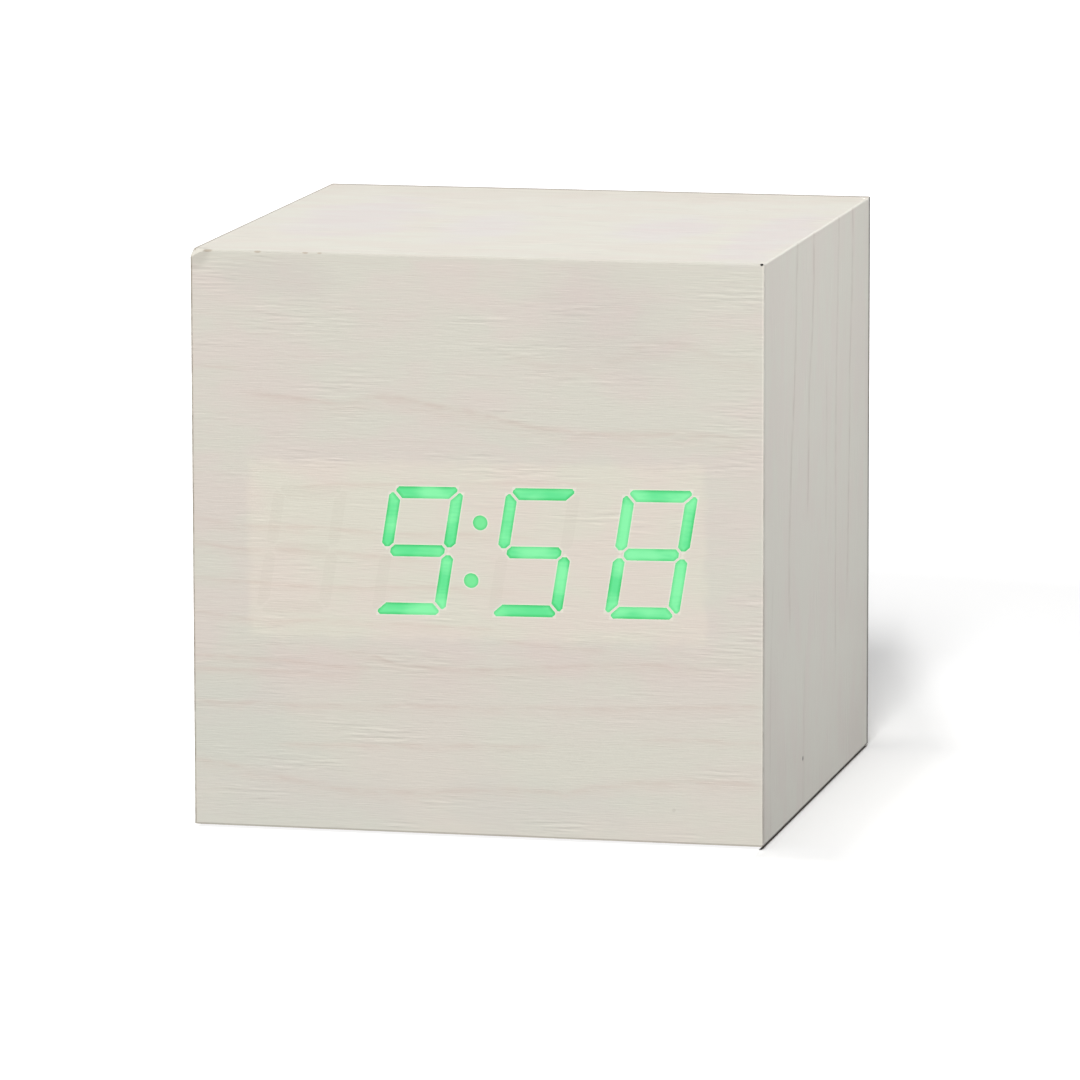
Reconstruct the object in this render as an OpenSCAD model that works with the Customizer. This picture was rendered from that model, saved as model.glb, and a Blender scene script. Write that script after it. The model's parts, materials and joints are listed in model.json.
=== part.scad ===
// Cube desk clock: a veneered fibreboard case whose LED digits show through the front,
// with push buttons and a power inlet at the back and a battery bay in the base.
// Millimetres. +Z is up, the front faces -Y, the origin is on the floor under the cube's middle.

/* [Case] */
// Outer edge of the cube, veneer included
case_side = 68; // [67:0.5:84]
// Thickness of each fibreboard panel
panel_t = 4.6; // [3.6:0.1:5]
// Thickness of the veneer glued over the panels
veneer_t = 0.4; // [0.3:0.05:0.7]
// Radius of the eased outer edges
edge_r = 0.25; // [0.2:0.05:0.6]
// Reach of the rubbed front top left corner along the top's edges
corner_wear = 2.5; // [0.8:0.1:3]
// Reach of that corner down the upright edge
corner_drop = 1; // [0.5:0.1:1.5]

/* [Digits] */
// Hour that the display shows
hour_shown = 9; // [0:1:23]
// Minute that the display shows
minute_shown = 58; // [0:1:59]
// Height of a digit over its outer edges
digit_h = 15.1; // [13:0.1:17]
// Width of a digit over its outer edges, before it leans
digit_w = 8.8; // [8:0.1:10]
// Width of a segment
stroke_w = 1.4; // [1.1:0.05:1.7]
// Gap between neighbouring segments
segment_gap = 0.3; // [0.2:0.05:0.5]
// Cut that blunts a segment's outer corner
corner_clip = 0.55; // [0.3:0.05:1]
// Cut off the outer ends of the upright bars
side_clip = 0.5; // [0.3:0.05:1]
// Bevel on that cut's outer corner
corner_bevel = 0.3; // [0.1:0.05:0.4]
// Half width of a segment's blunt tip
tip_half = 0.25; // [0.1:0.05:0.4]
// Lean of the digits, in degrees
digit_lean = 10; // [0:1:11]
// Diameter of a colon dot
colon_d = 1.75; // [1.2:0.05:2.2]
// Distance between the colon dots along the lean
colon_pitch = 6.8; // [5:0.1:8]

/* [Display module] */
// Height of the display's middle over the case's lower edge
display_z = 33.5; // [32:0.1:40]
// Turn of the display in its window, in degrees
display_turn = 0.9; // [-1:0.1:1]
// Gap between the display and the side panels
display_gap = 1.8; // [1.2:0.1:4]
// Reflector left and right of the outermost digits
reflector_side = 0.65; // [0.3:0.05:0.8]
// Reflector above and below the digits
reflector_brim = 2.8; // [1.5:0.05:3]
// Depth of the reflector block
reflector_d = 7.8; // [7:0.1:10]
// Thickness of the diffuser film
film_t = 0.2; // [0.1:0.05:0.4]
// Free room around the reflector in its window
window_clear = 0.5; // [0.3:0.05:0.6]
// Room around a light guide in its cavity
guide_clear = 0.05; // [0.02:0.01:0.1]
// Depth of a light guide
guide_d = 5.4; // [4:0.1:6]
// Size of an LED chip along X
led_w = 1; // [0.6:0.1:1.2]
// Size of an LED chip along Z
led_h = 0.8; // [0.5:0.1:1]
// Thickness of an LED chip
led_t = 0.6; // [0.4:0.1:0.9]

/* [Circuit boards] */
// Thickness of both circuit boards
board_t = 1.6; // [1:0.1:2]
// Width of the control board
control_w = 50; // [48:0.5:53]
// Height of the control board
control_h = 36; // [34:0.5:41]
// Gap between the battery bay's roof and the control board
control_lift = 3.2; // [2.5:0.1:8]
// Distance from the back panel to the control board
control_gap = 11; // [10:0.1:13]
// Inset of the control board's fixings from its edges
control_fix = 3.5; // [3:0.1:4.5]
// Radius of a board spacer
spacer_r = 2.3; // [1.8:0.1:2.6]
// Clearance of a screw in the boards and spacers
screw_clear = 0.15; // [0.05:0.05:0.3]
// Gap between a screw and its pilot hole in wood
pilot_clear = 0.05; // [0.02:0.01:0.1]

/* [Board screws] */
// Shank radius of a board screw
board_screw_r = 1; // [0.8:0.05:1.2]
// Head radius of a board screw
board_head_r = 1.9; // [1.6:0.1:2.3]
// Head height of a board screw
board_head_h = 1.2; // [0.8:0.1:1.6]
// Depth of a board screw in the panel
board_screw_bite = 3; // [2:0.1:3.2]

/* [Board parts] */
// Length of the controller chip
chip_l = 17.9; // [12:0.1:20]
// Width of the controller chip's body
chip_w = 7.5; // [5:0.1:8]
// Height of the controller chip
chip_h = 2.3; // [1.5:0.1:3]
// Leads on each side of the chip
chip_leads = 14; // [8:1:14]
// Length of the crystal's can
crystal_l = 10.8; // [6:0.1:12]
// Width of the crystal's can
crystal_w = 4.4; // [3:0.1:5]
// Height of the crystal's can
crystal_h = 3.4; // [2:0.1:4]
// Radius of the capacitor
capacitor_r = 3.15; // [2:0.05:4]
// Height of the capacitor
capacitor_h = 7; // [4:0.1:11]
// Radius of the backup coin cell
coin_r = 10; // [6:0.1:10.5]
// Thickness of the backup coin cell
coin_t = 3.2; // [1.2:0.1:3.6]
// Wall and floor of the coin cell's holder
coin_wall = 0.9; // [0.6:0.1:1.2]
// Radius of the buzzer
buzzer_r = 6; // [4.5:0.1:6.5]
// Height of the buzzer
buzzer_h = 9.5; // [5:0.1:9.8]
// Radius of a sound hole
sound_hole_r = 0.6; // [0.4:0.05:1]
// Radius of the ring of sound holes
sound_ring_r = 2.6; // [2:0.1:4]
// Radius of the microphone
mic_r = 3; // [2:0.1:4]
// Height of the microphone
mic_h = 9; // [4:0.1:9.8]

/* [Buttons] */
// Distance between the buttons
button_pitch = 13; // [10:0.5:14]
// Height of the buttons over the control board's middle
button_rise = 8; // [6:0.5:9]
// Radius of a button
button_r = 3; // [2.2:0.1:3.4]
// Gap around a button in its hole
button_clear = 0.2; // [0.1:0.05:0.3]
// Depth of a button's face under the back of the case
button_sink = 0.3; // [0.1:0.05:0.8]
// Travel of a button
button_travel = 0.5; // [0.2:0.05:0.8]
// Width of the flange that keeps a button in
flange_w = 1.2; // [0.8:0.1:1.5]
// Thickness of that flange
flange_t = 1; // [0.6:0.1:1.4]
// Gap between the flange and the back panel
flange_gap = 0.15; // [0.05:0.05:0.3]
// Depth of the sign sunk in a button's face
sign_d = 0.3; // [0.1:0.05:0.5]
// Radius of the sign in a button's face
sign_r = 1.3; // [0.8:0.1:1.6]
// Width of a switch body
switch_w = 6.2; // [5:0.1:7]
// Height of a switch body
switch_h = 3.5; // [3:0.1:4.5]
// Radius of a switch stem
stem_r = 1.75; // [1.2:0.05:2]
// Gap around a switch stem
stem_clear = 0.1; // [0.05:0.01:0.15]
// Length of a switch stem inside its body
stem_seat = 1; // [0.6:0.1:1.4]

/* [Power inlet] */
// Radius of the hole that takes the plug's grip
inlet_r = 4.5; // [4:0.1:5]
// Radius of the socket's bore
socket_r = 1.85; // [1.7:0.05:2.9]
// Depth of the socket's bore
socket_d = 9.6; // [8:0.1:9.8]
// Radius of the socket's centre pin
socket_pin_r = 0.65; // [0.5:0.05:1.1]
// Length of the socket's centre pin
socket_pin_l = 8.6; // [6:0.1:9]
// Width and height of the jack's body
jack_w = 8; // [7:0.1:9]
// Gap between the jack and the back panel
jack_gap = 0.2; // [0.1:0.05:0.4]

/* [Battery bay] */
// Diameter of a cell
cell_d = 10.5; // [10:0.1:10.7]
// Length of a cell, contact nub included
cell_l = 44.5; // [43:0.1:45]
// Least width of the rib between two cells
cell_rib = 0.4; // [0.2:0.05:0.8]
// Radius of a cell's contact nub
nub_r = 1.9; // [1.5:0.1:2.5]
// Length of a cell's contact nub
nub_l = 1; // [0.8:0.1:1.4]
// Room around a cell in its well
well_clear = 0.3; // [0.2:0.05:0.35]
// Wall of the battery bay
bay_wall = 1.5; // [1:0.1:1.7]
// Thickness of a contact plate
contact_t = 0.4; // [0.3:0.05:0.5]
// Width of a contact plate
contact_w = 8.4; // [7:0.1:8.6]
// Height of a contact plate's solder tab over the bay
tab_h = 1.3; // [1:0.1:1.5]
// Length of a pressed spring
spring_l = 3.9; // [3.6:0.1:4.4]
// Radius of a spring at its foot
spring_foot_r = 3.6; // [3:0.1:3.8]
// Radius of a spring at its tip
spring_tip_r = 2; // [1.6:0.1:2.4]
// Diameter of the spring wire
spring_wire = 0.6; // [0.5:0.05:0.65]
// Turns of a spring
spring_turns = 3; // [2:0.5:3]

/* [Base and door] */
// Thickness of the base plate
base_t = 3.4; // [3.2:0.1:4]
// Depth of the base plate inside the case's lower edge
base_recess = 0.4; // [0.2:0.1:1]
// Gap between the base plate and the panels
base_clear = 0.2; // [0.1:0.05:0.4]
// Height of the case's lower edge over the floor
foot_gap = 0.4; // [0.3:0.05:1]
// Radius of a foot pad
pad_r = 2.8; // [2:0.1:3.4]
// Inset of a foot pad from the base plate's edges
pad_inset = 0.2; // [0.1:0.05:1]
// Thickness of the battery door
door_t = 1.6; // [1.3:0.05:1.8]
// Overlap of the door on the lips at the bay's ends
door_lap = 0.6; // [0.4:0.05:0.9]
// Gap at the door's ends and over its inner face
door_side_gap = 0.2; // [0.1:0.05:0.3]
// Gap along the door's free edge
door_end_gap = 0.3; // [0.28:0.02:0.5]
// Radius of the door's hinge barrel
barrel_r = 1.2; // [1:0.05:1.3]
// Gap around the hinge barrel
barrel_gap = 0.3; // [0.25:0.05:0.35]
// Radius of a hinge pin
hinge_pin_r = 0.75; // [0.6:0.05:0.8]
// Running clearance of a hinge pin
hinge_pin_clear = 0.05; // [0.02:0.01:0.1]
// Length of a hinge pin
hinge_pin_l = 1.2; // [0.8:0.1:2]
// Distance from the bay to the hinge's axis
hinge_out = 0.8; // [0.6:0.05:1.6]
// Overlap of the door's free edge past the bay
latch_lap = 1; // [0.6:0.05:1.5]
// Width of a cleat that the base is screwed to
cleat_w = 6.5; // [5:0.1:9]
// Height of a cleat
cleat_h = 8; // [6.5:0.1:10]
// Length of a cleat
cleat_l = 40; // [36:0.5:44]
// Shank radius of a base screw
base_screw_r = 1.2; // [1:0.05:1.5]
// Head radius of a base screw
base_head_r = 2.2; // [2:0.1:2.8]
// Head height of a base screw
base_head_h = 1.5; // [1:0.1:1.8]
// Depth of a base screw in its cleat
base_screw_bite = 6; // [4:0.1:6.2]
// Distance of the base screws from the middle
base_screw_y = 13; // [8:0.5:13.5]

/* [Leads] */
// Diameter of a battery lead
lead_d = 1.2; // [0.8:0.1:1.3]
// Run of the red lead straight out of its tab
red_out = 22; // [12:0.5:26]
// Run of the red lead straight into the plug
red_in = 16; // [8:0.5:20]
// Run of the black lead straight out of its tab
black_out = 24; // [12:0.5:30]
// Run of the black lead straight into the plug
black_in = 24; // [12:0.5:30]
// Width of the ribbon cable
ribbon_w = 12.7; // [8:0.1:14]
// Thickness of the ribbon cable
ribbon_t = 0.9; // [0.6:0.1:1.2]
// Length of the headers that the ribbon joins
header_l = 15; // [14.5:0.1:17]
// Height of those headers
header_w = 5; // [4:0.1:6]
// Reach of those headers off their boards
header_d = 6; // [4:0.1:8]
// Length of the battery plug
plug_l = 7; // [5.5:0.1:7.5]
// Height of the battery plug
plug_w = 5; // [4:0.1:5.5]
// Reach of the battery plug off the board
plug_d = 7; // [5:0.1:8]

/* [Hidden] */
$fn = 64;
cut = 1; // how far a cutting shape runs past the face that it cuts

// Colours
VENEER = [0.90, 0.87, 0.82];
VENEER_SIDE = [0.84, 0.82, 0.78];
FIBREBOARD = [0.66, 0.53, 0.38];
LIT = [0.33, 0.93, 0.52];
UNLIT = [0.87, 0.84, 0.79];
WHITE_PLASTIC = [0.93, 0.93, 0.91];
FILM = [0.96, 0.95, 0.92];
CLEAR_RESIN = [0.80, 0.93, 0.83];
BLACK_PLASTIC = [0.10, 0.10, 0.11];
BOARD_GREEN = [0.08, 0.36, 0.22];
STEEL = [0.72, 0.73, 0.75];
BRASS = [0.78, 0.64, 0.33];
RUBBER = [0.16, 0.16, 0.16];
PINE = [0.82, 0.69, 0.48];
CELL_JACKET = [0.30, 0.42, 0.50];
LEAD_RED = [0.75, 0.12, 0.10];
LEAD_BLACK = [0.12, 0.12, 0.12];
RIBBON_GREY = [0.62, 0.63, 0.65];

// Case: half widths and heights of the veneer's outside, the panels' outside and the hollow
case_half = case_side / 2;
panel_half = case_half - veneer_t;
hollow_half = panel_half - panel_t;
case_foot = foot_gap;
case_top = case_foot + case_side;
panel_top = case_top - veneer_t;
hollow_top = panel_top - panel_t;

// Display, measured from the front inwards
film_y = -panel_half;
reflector_y = film_y + film_t;
display_board_y = reflector_y + reflector_d;
display_back_y = display_board_y + board_t;
display_mid_z = case_foot + display_z;
lean_run = digit_h * tan(digit_lean);
reflector_w = 2 * (hollow_half - display_gap);
digit_pitch = (reflector_w - digit_w - lean_run - 2 * reflector_side) / 3;
reflector_h = digit_h + 2 * reflector_brim;
turn_cos = cos(display_turn);
turn_sin = abs(sin(display_turn));
window_w = reflector_w * turn_cos + reflector_h * turn_sin + 2 * window_clear;
window_h = reflector_h * turn_cos + reflector_w * turn_sin + 2 * window_clear;
spacer_rim = 0.4;
display_fix_u = reflector_w / 2 - spacer_r - spacer_rim;
display_fix_v = window_h / 2 + spacer_r + spacer_rim;
display_board_h = 2 * (display_fix_v + spacer_r + spacer_rim);
display_header_v = -(reflector_h / 2);

// Digits: half width and half height of the line along the middle of the segments
line_w = (digit_w - stroke_w) / 2;
line_h = (digit_h - stroke_w) / 2;
digit_u = [for (i = [-1.5:1:1.5]) i * digit_pitch];
// Segments a to g of the numbers 0 to 9
SEGMENTS_OF = [
    [0, 1, 2, 3, 4, 5], [1, 2], [0, 1, 3, 4, 6], [0, 1, 2, 3, 6], [1, 2, 5, 6],
    [0, 2, 3, 5, 6], [0, 2, 3, 4, 5, 6], [0, 1, 2], [0, 1, 2, 3, 4, 5, 6], [0, 1, 2, 3, 5, 6]
];
ALL_SEGMENTS = SEGMENTS_OF[8];
hour_tens = floor(hour_shown / 10);
lit_of_digit = [
    hour_tens > 0 ? SEGMENTS_OF[hour_tens] : [],
    SEGMENTS_OF[hour_shown % 10],
    SEGMENTS_OF[floor(minute_shown / 10)],
    SEGMENTS_OF[minute_shown % 10]
];

// Battery bay and base, from the floor upwards
base_half = hollow_half - base_clear;
base_z = case_foot + base_recess;
base_top = base_z + base_t;
cell_lift = 0.4;
cell_z = base_z + door_t + cell_lift + cell_d / 2;
well_r = cell_d / 2 + well_clear;
cell_pitch = 2 * well_r + cell_rib;
bay_w = 2 * (cell_pitch + well_r);
cell_slack = 0.1;
bay_l = cell_l + spring_l + 2 * contact_t + cell_slack;
bay_top = cell_z + well_r + bay_wall;
cell_x = [-cell_pitch, 0, cell_pitch];
cell_dir = [1, -1, 1]; // the end that holds each cell's nub
contact_y = bay_l / 2 - contact_t;
contact_drop = 3.6;
contact_rise = 3;
strap_top = -0.6; // the strap between two plates passes under the rib between their wells
tab_w = 3;
tab_clear = 0.2;

// Battery door, hinged along the cells; the base's lips cover the contacts at both ends of the bay
lip_clear = 0.25;
opening_half = contact_y - cell_slack / 2 - nub_l + lip_clear;
door_half = opening_half + door_lap;
hinge_x = -(bay_w / 2 + hinge_out);
hinge_z = base_z + barrel_r;
latch_x = bay_w / 2 + latch_lap;
detent_r = 0.5;
detent_out = 0.2;
detent_l = 4;
groove_n = 5;
groove_w = 0.8;
groove_pitch = 1.8;
groove_l = 14;
groove_d = 0.4;
notch_l = 12;
notch_w = 1.6;
notch_d = 1.4;

// Base fixings
cleat_x = hollow_half - cleat_w / 2;
pad_xy = base_half - pad_inset - pad_r;

// Control board, measured from the back inwards
control_back_y = hollow_half - control_gap;
control_front_y = control_back_y - board_t;
control_z = bay_top + control_lift;
control_mid_z = control_z + control_h / 2;
control_fix_x = control_w / 2 - control_fix;
control_fix_z = [control_z + control_fix, control_z + control_h - control_fix];
button_z = control_mid_z + button_rise;
button_x = [button_pitch, 0, -button_pitch];
flange_y = hollow_half - flange_gap - flange_t;
switch_top_y = control_back_y + switch_h;
sound_rise = 9;
sound_at = [control_w / 4, control_z + sound_rise];
mic_at = [0, control_z + sound_rise];
inlet_rise = 8.5;
inlet_out = 1.5;
inlet_at = [-(control_w / 4 + inlet_out), control_z + inlet_rise];
coin_out = coin_r + cell_slack + coin_wall;
coin_edge = 2;
coin_rise = 4;
part_gap = 1;
coin_at = [coin_edge - coin_out, control_mid_z + coin_rise];
chip_rise = 5;
chip_at = [coin_edge + part_gap + chip_l / 2, control_mid_z + chip_rise];
crystal_drop = 4;
crystal_out = 5;
crystal_at = [control_w / 4 + crystal_out, control_mid_z - crystal_drop];
capacitor_rise = 5;
capacitor_at = [control_w / 4 + coin_edge, control_z + capacitor_rise];
header_rise = 5.5;
board_header_at = [0, control_z + header_rise];
plug_rise = 6;
plug_out = 3;
plug_at = [-(control_w / 4 + plug_out), control_z + plug_rise];
ribbon_z = display_mid_z + display_header_v;

// General shapes

// A bar along Y from y0 to y1, of radius r0 at y0 and r1 at y1.
module rod_y(y0, y1, r0, r1) {
    translate([0, y0, 0]) rotate([-90, 0, 0]) cylinder(h = y1 - y0, r1 = r0, r2 = r1);
}

// An outline drawn in X and Z, as a plate from y0 to y1.
module plate_y(y0, y1) {
    translate([0, y1, 0]) rotate([90, 0, 0]) linear_extrude(y1 - y0) children();
}

// An outline drawn in Y and Z, as a bar of width w across the middle of X.
module bar_x(w) {
    translate([-w / 2, 0, 0]) rotate([90, 0, 90]) linear_extrude(w) children();
}

// A box given by its lowest and highest corners.
module box(low, high) {
    translate(low) cube(high - low);
}

// A box on a board's face: w along X, h along Z, from y0 to y1, centred on at = [x, z].
module block_at(at, w, h, y0, y1) {
    box([at.x - w / 2, y0, at.y - h / 2], [at.x + w / 2, y1, at.y + h / 2]);
}

// One wall of the case at the front, mitred to its neighbours at both sides and the top.
module mitred_wall(outer, inner, outer_top, inner_top) {
    intersection() {
        translate([0, 0, case_foot]) linear_extrude(case_side)
            polygon([[-outer, -outer], [outer, -outer], [inner, -inner], [-inner, -inner]]);
        bar_x(2 * outer)
            polygon([[-outer, case_foot], [-inner, case_foot], [-inner, inner_top], [-outer, outer_top]]);
    }
}

// The case's top, mitred on all four edges.
module mitred_top(outer, inner, outer_top, inner_top) {
    outline = [[-outer, outer_top], [outer, outer_top], [inner, inner_top], [-inner, inner_top]];
    intersection() {
        bar_x(2 * outer) polygon(outline);
        plate_y(-outer, outer) polygon(outline);
    }
}

module panel_wall(side) {
    rotate([0, 0, 90 * side]) mitred_wall(panel_half, hollow_half, panel_top, hollow_top);
}

module veneer_wall(side) {
    rotate([0, 0, 90 * side]) mitred_wall(case_half, panel_half, case_top, panel_top);
}

// A square of the case's width with eased corners, standing on its foot.
module eased_square() {
    union() {
        translate([-case_half, edge_r]) square([case_side, case_side - 2 * edge_r]);
        translate([-case_half + edge_r, 0]) square([case_side - 2 * edge_r, case_side]);
        for (x = [-1, 1], z = [edge_r, case_side - edge_r])
            translate([x * (case_half - edge_r), z]) circle(edge_r);
    }
}

// A square with only its two upper corners eased.
module eased_arch() {
    union() {
        eased_square();
        translate([-case_half, 0]) square([case_side, case_half]);
    }
}

// The cube with eased edges, sharp along the foot.
module eased_cube() {
    intersection() {
        translate([0, -case_half, case_foot]) linear_extrude(case_side) eased_square();
        translate([0, 0, case_foot]) plate_y(-case_half, case_half) eased_arch();
        translate([0, 0, case_foot]) bar_x(case_side) eased_arch();
    }
}

// What is rubbed off the front top left corner: all that lies outside a ball, or that much deeper.
module worn_corner(deeper = 0) {
    inset = 1.2 * corner_wear;
    depth = (pow(corner_drop, 2) + corner_wear * (2 * inset - corner_wear)) / (2 * corner_drop);
    ball_r = sqrt(2 * inset * inset + pow(depth - corner_drop, 2)) - deeper;
    translate([-case_half, -case_half, case_top]) difference() {
        translate([-cut, -cut, -depth]) cube([inset + cut, inset + cut, depth + cut]);
        translate([inset, inset, -depth]) sphere(ball_r);
    }
}

// The veneer that follows the worn corner where it cuts into the panels.
module corner_cap() {
    intersection() {
        box([-panel_half, -panel_half, hollow_top], [-hollow_half, -hollow_half, panel_top]);
        difference() {
            worn_corner(veneer_t);
            worn_corner();
        }
    }
}

// A tube swept along points, with flat ends.
function unit(v) = v / norm(v);
function tangents(p) = [for (i = [0:len(p) - 1]) unit(p[min(i + 1, len(p) - 1)] - p[max(i - 1, 0)])];
function square_to(n, t) = unit(n - (n * t) * t);
function carried(t, n, i = 0) =
    i == len(t) ? [] : let(m = square_to(n, t[i])) concat([m], carried(t, m, i + 1));
function ring(p, t, n, r, sides) =
    [for (k = [0:sides - 1]) let(a = 360 * k / sides) p + r * (cos(a) * n + sin(a) * cross(t, n))];

module tube(points, r, sides, first_normal) {
    t = tangents(points);
    n = carried(t, first_normal);
    last = len(points) - 1;
    rings = [for (i = [0:last]) each ring(points[i], t[i], n[i], r, sides)];
    walls = [for (i = [0:last - 1], k = [0:sides - 1])
        let(a = i * sides + k, b = i * sides + (k + 1) % sides)
        each [[a, a + sides, b], [b, a + sides, b + sides]]];
    caps = [for (k = [1:sides - 2])
        each [[0, k, k + 1], [last * sides, last * sides + k + 1, last * sides + k]]];
    polyhedron(rings, concat(walls, caps));
}

function bezier(p, t) =
    pow(1 - t, 3) * p[0] + 3 * t * pow(1 - t, 2) * p[1] + 3 * t * t * (1 - t) * p[2] + pow(t, 3) * p[3];
function bezier_run(p, steps) = [for (i = [0:steps]) bezier(p, i / steps)];

// Case

module window_cut() {
    translate([0, 0, display_mid_z])
        block_at([0, 0], window_w, window_h, -panel_half - cut, -hollow_half + cut);
}

module front_panel() {
    color(FIBREBOARD) difference() {
        panel_wall(0);
        window_cut();
        on_display() at_display_fixings() board_pilot(-hollow_half);
        worn_corner(veneer_t);
    }
}

module right_panel() {
    color(FIBREBOARD) panel_wall(1);
}

module back_panel() {
    color(FIBREBOARD) difference() {
        panel_wall(2);
        back_holes();
        at_control_fixings() mirror([0, 1, 0]) board_pilot(-hollow_half);
    }
}

module left_panel() {
    color(FIBREBOARD) difference() {
        panel_wall(3);
        worn_corner(veneer_t);
    }
}

module top_panel() {
    color(FIBREBOARD) difference() {
        mitred_top(panel_half, hollow_half, panel_top, hollow_top);
        worn_corner(veneer_t);
    }
}

// One sheet folded over the front, the top and the back.
module wrap_veneer() {
    color(VENEER) difference() {
        intersection() {
            union() {
                veneer_wall(0);
                veneer_wall(2);
                mitred_top(case_half, panel_half, case_top, panel_top);
                corner_cap();
            }
            eased_cube();
        }
        on_display() plate_y(-case_half - cut, -panel_half + cut) {
            every_segment(0);
            colon();
        }
        back_holes();
        worn_corner();
    }
}

module right_veneer() {
    color(VENEER_SIDE) intersection() {
        veneer_wall(1);
        eased_cube();
    }
}

module left_veneer() {
    color(VENEER_SIDE) difference() {
        intersection() {
            veneer_wall(3);
            eased_cube();
        }
        worn_corner();
    }
}

// Holes through the back for the buttons, the plug, the buzzer and the microphone.
module back_holes() {
    y0 = hollow_half - cut;
    y1 = case_half + cut;
    for (x = button_x)
        translate([x, 0, button_z]) rod_y(y0, y1, button_r + button_clear, button_r + button_clear);
    translate([inlet_at.x, 0, inlet_at.y]) rod_y(y0, y1, inlet_r, inlet_r);
    translate([mic_at.x, 0, mic_at.y]) rod_y(y0, y1, sound_hole_r, sound_hole_r);
    translate([sound_at.x, 0, sound_at.y]) {
        rod_y(y0, y1, sound_hole_r, sound_hole_r);
        for (a = [0:60:300])
            translate([sound_ring_r * cos(a), 0, sound_ring_r * sin(a)])
                rod_y(y0, y1, sound_hole_r, sound_hole_r);
    }
}

// Segments

function leaned(p) = [p.x + p.y * tan(digit_lean), p.y];
function upright(points, right, up) = [for (p = points) leaned([right * p.x, up * p.y])];

// Outline of segment k, a to g as 0 to 6, grown all round.
function segment(k, grow) =
    let(
        s = stroke_w / 2 + grow,
        back = (segment_gap / 2 - grow) * sqrt(2),
        end_w = line_w - back,
        end_h = line_h - back,
        far_w = end_w + s - corner_clip,
        far_h = end_h + s - side_clip,
        top_bar = [
            [-(end_w - s), line_h - s], [-far_w, line_h + s - corner_clip],
            [-far_w, line_h + s - corner_bevel], [-far_w + corner_bevel, line_h + s],
            [far_w - corner_bevel, line_h + s], [far_w, line_h + s - corner_bevel],
            [far_w, line_h + s - corner_clip], [end_w - s, line_h - s]
        ],
        side_bar = [
            [line_w + s, back + s], [line_w + s, far_h - corner_bevel],
            [line_w + s - corner_bevel, far_h], [line_w + s - side_clip, far_h], [line_w - s, end_h - s],
            [line_w - s, back + s], [line_w - tip_half, back + tip_half], [line_w + tip_half, back + tip_half]
        ],
        middle_bar = [
            [-(end_w - tip_half), -tip_half], [-(end_w - tip_half), tip_half],
            [-(end_w - s), s], [end_w - s, s],
            [end_w - tip_half, tip_half], [end_w - tip_half, -tip_half],
            [end_w - s, -s], [-(end_w - s), -s]
        ]
    )
    k == 0 ? upright(top_bar, 1, 1)
    : k == 1 ? upright(side_bar, 1, 1)
    : k == 2 ? upright(side_bar, 1, -1)
    : k == 3 ? upright(top_bar, 1, -1)
    : k == 4 ? upright(side_bar, -1, -1)
    : k == 5 ? upright(side_bar, -1, 1)
    : upright(middle_bar, 1, 1);

// Middle of segment k.
function segment_mid(k) =
    let(x = [0, 1, 1, 0, -1, -1, 0][k], y = [2, 1, -1, -2, -1, 1, 0][k])
    leaned([x * line_w, y * line_h / 2]);

function is_lit(digit, k) = len(search(k, lit_of_digit[digit])) > 0;

module every_segment(grow) {
    for (i = [0:3], k = ALL_SEGMENTS) translate([digit_u[i], 0]) polygon(segment(k, grow));
}

module segments_where(lit) {
    for (i = [0:3], k = ALL_SEGMENTS)
        if (is_lit(i, k) == lit) translate([digit_u[i], 0]) polygon(segment(k, 0));
}

module colon(grow = 0) {
    for (up = [-1, 1]) translate(leaned([0, up * colon_pitch / 2])) circle(colon_d / 2 + grow);
}

// Display module

// Puts shapes drawn about the display's middle in its place and turn.
module on_display() {
    translate([0, 0, display_mid_z]) rotate([0, -display_turn, 0]) children();
}

module at_display_fixings() {
    for (u = [-1, 1], v = [-1, 1]) translate([u * display_fix_u, 0, v * display_fix_v]) children();
}

// Spots of the front veneer that the segments light up.
module lit_segments() {
    color(LIT) on_display() plate_y(-case_half, -panel_half) {
        segments_where(true);
        colon();
    }
}

module unlit_segments() {
    color(UNLIT) on_display() plate_y(-case_half, -panel_half) segments_where(false);
}

module diffuser_film() {
    color(FILM) on_display()
        block_at([0, 0], reflector_w, reflector_h, film_y, reflector_y);
}

module segment_reflector() {
    color(WHITE_PLASTIC) on_display() difference() {
        block_at([0, 0], reflector_w, reflector_h, reflector_y, display_board_y);
        plate_y(reflector_y - cut, display_board_y + cut) {
            every_segment(guide_clear);
            colon(guide_clear);
        }
    }
}

module light_guides() {
    color(CLEAR_RESIN) on_display() plate_y(reflector_y, reflector_y + guide_d) {
        every_segment(0);
        colon();
    }
}

module led_at(p) {
    block_at(p, led_w, led_h, display_board_y - led_t, display_board_y);
}

module display_leds() {
    color(FILM) on_display() {
        for (i = [0:3], k = ALL_SEGMENTS) led_at([digit_u[i], 0] + segment_mid(k));
        for (up = [-1, 1]) led_at(leaned([0, up * colon_pitch / 2]));
    }
}

module display_board() {
    color(BOARD_GREEN) on_display() difference() {
        block_at([0, 0], reflector_w, display_board_h, display_board_y, display_back_y);
        at_display_fixings() screw_hole(display_board_y, display_back_y);
    }
}

module display_spacers() {
    color(WHITE_PLASTIC) on_display() at_display_fixings() spacer(-hollow_half, display_board_y);
}

module display_screws() {
    color(STEEL) on_display() at_display_fixings() board_screw(-hollow_half, display_back_y);
}

module display_header() {
    color(BLACK_PLASTIC) on_display()
        block_at([0, display_header_v], header_l, header_w, display_back_y, display_back_y + header_d);
}

// Board fixings, for a board that stands in front of a panel face at panel_y, towards +Y

module screw_hole(y0, y1) {
    rod_y(y0 - cut, y1 + cut, board_screw_r + screw_clear, board_screw_r + screw_clear);
}

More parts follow.
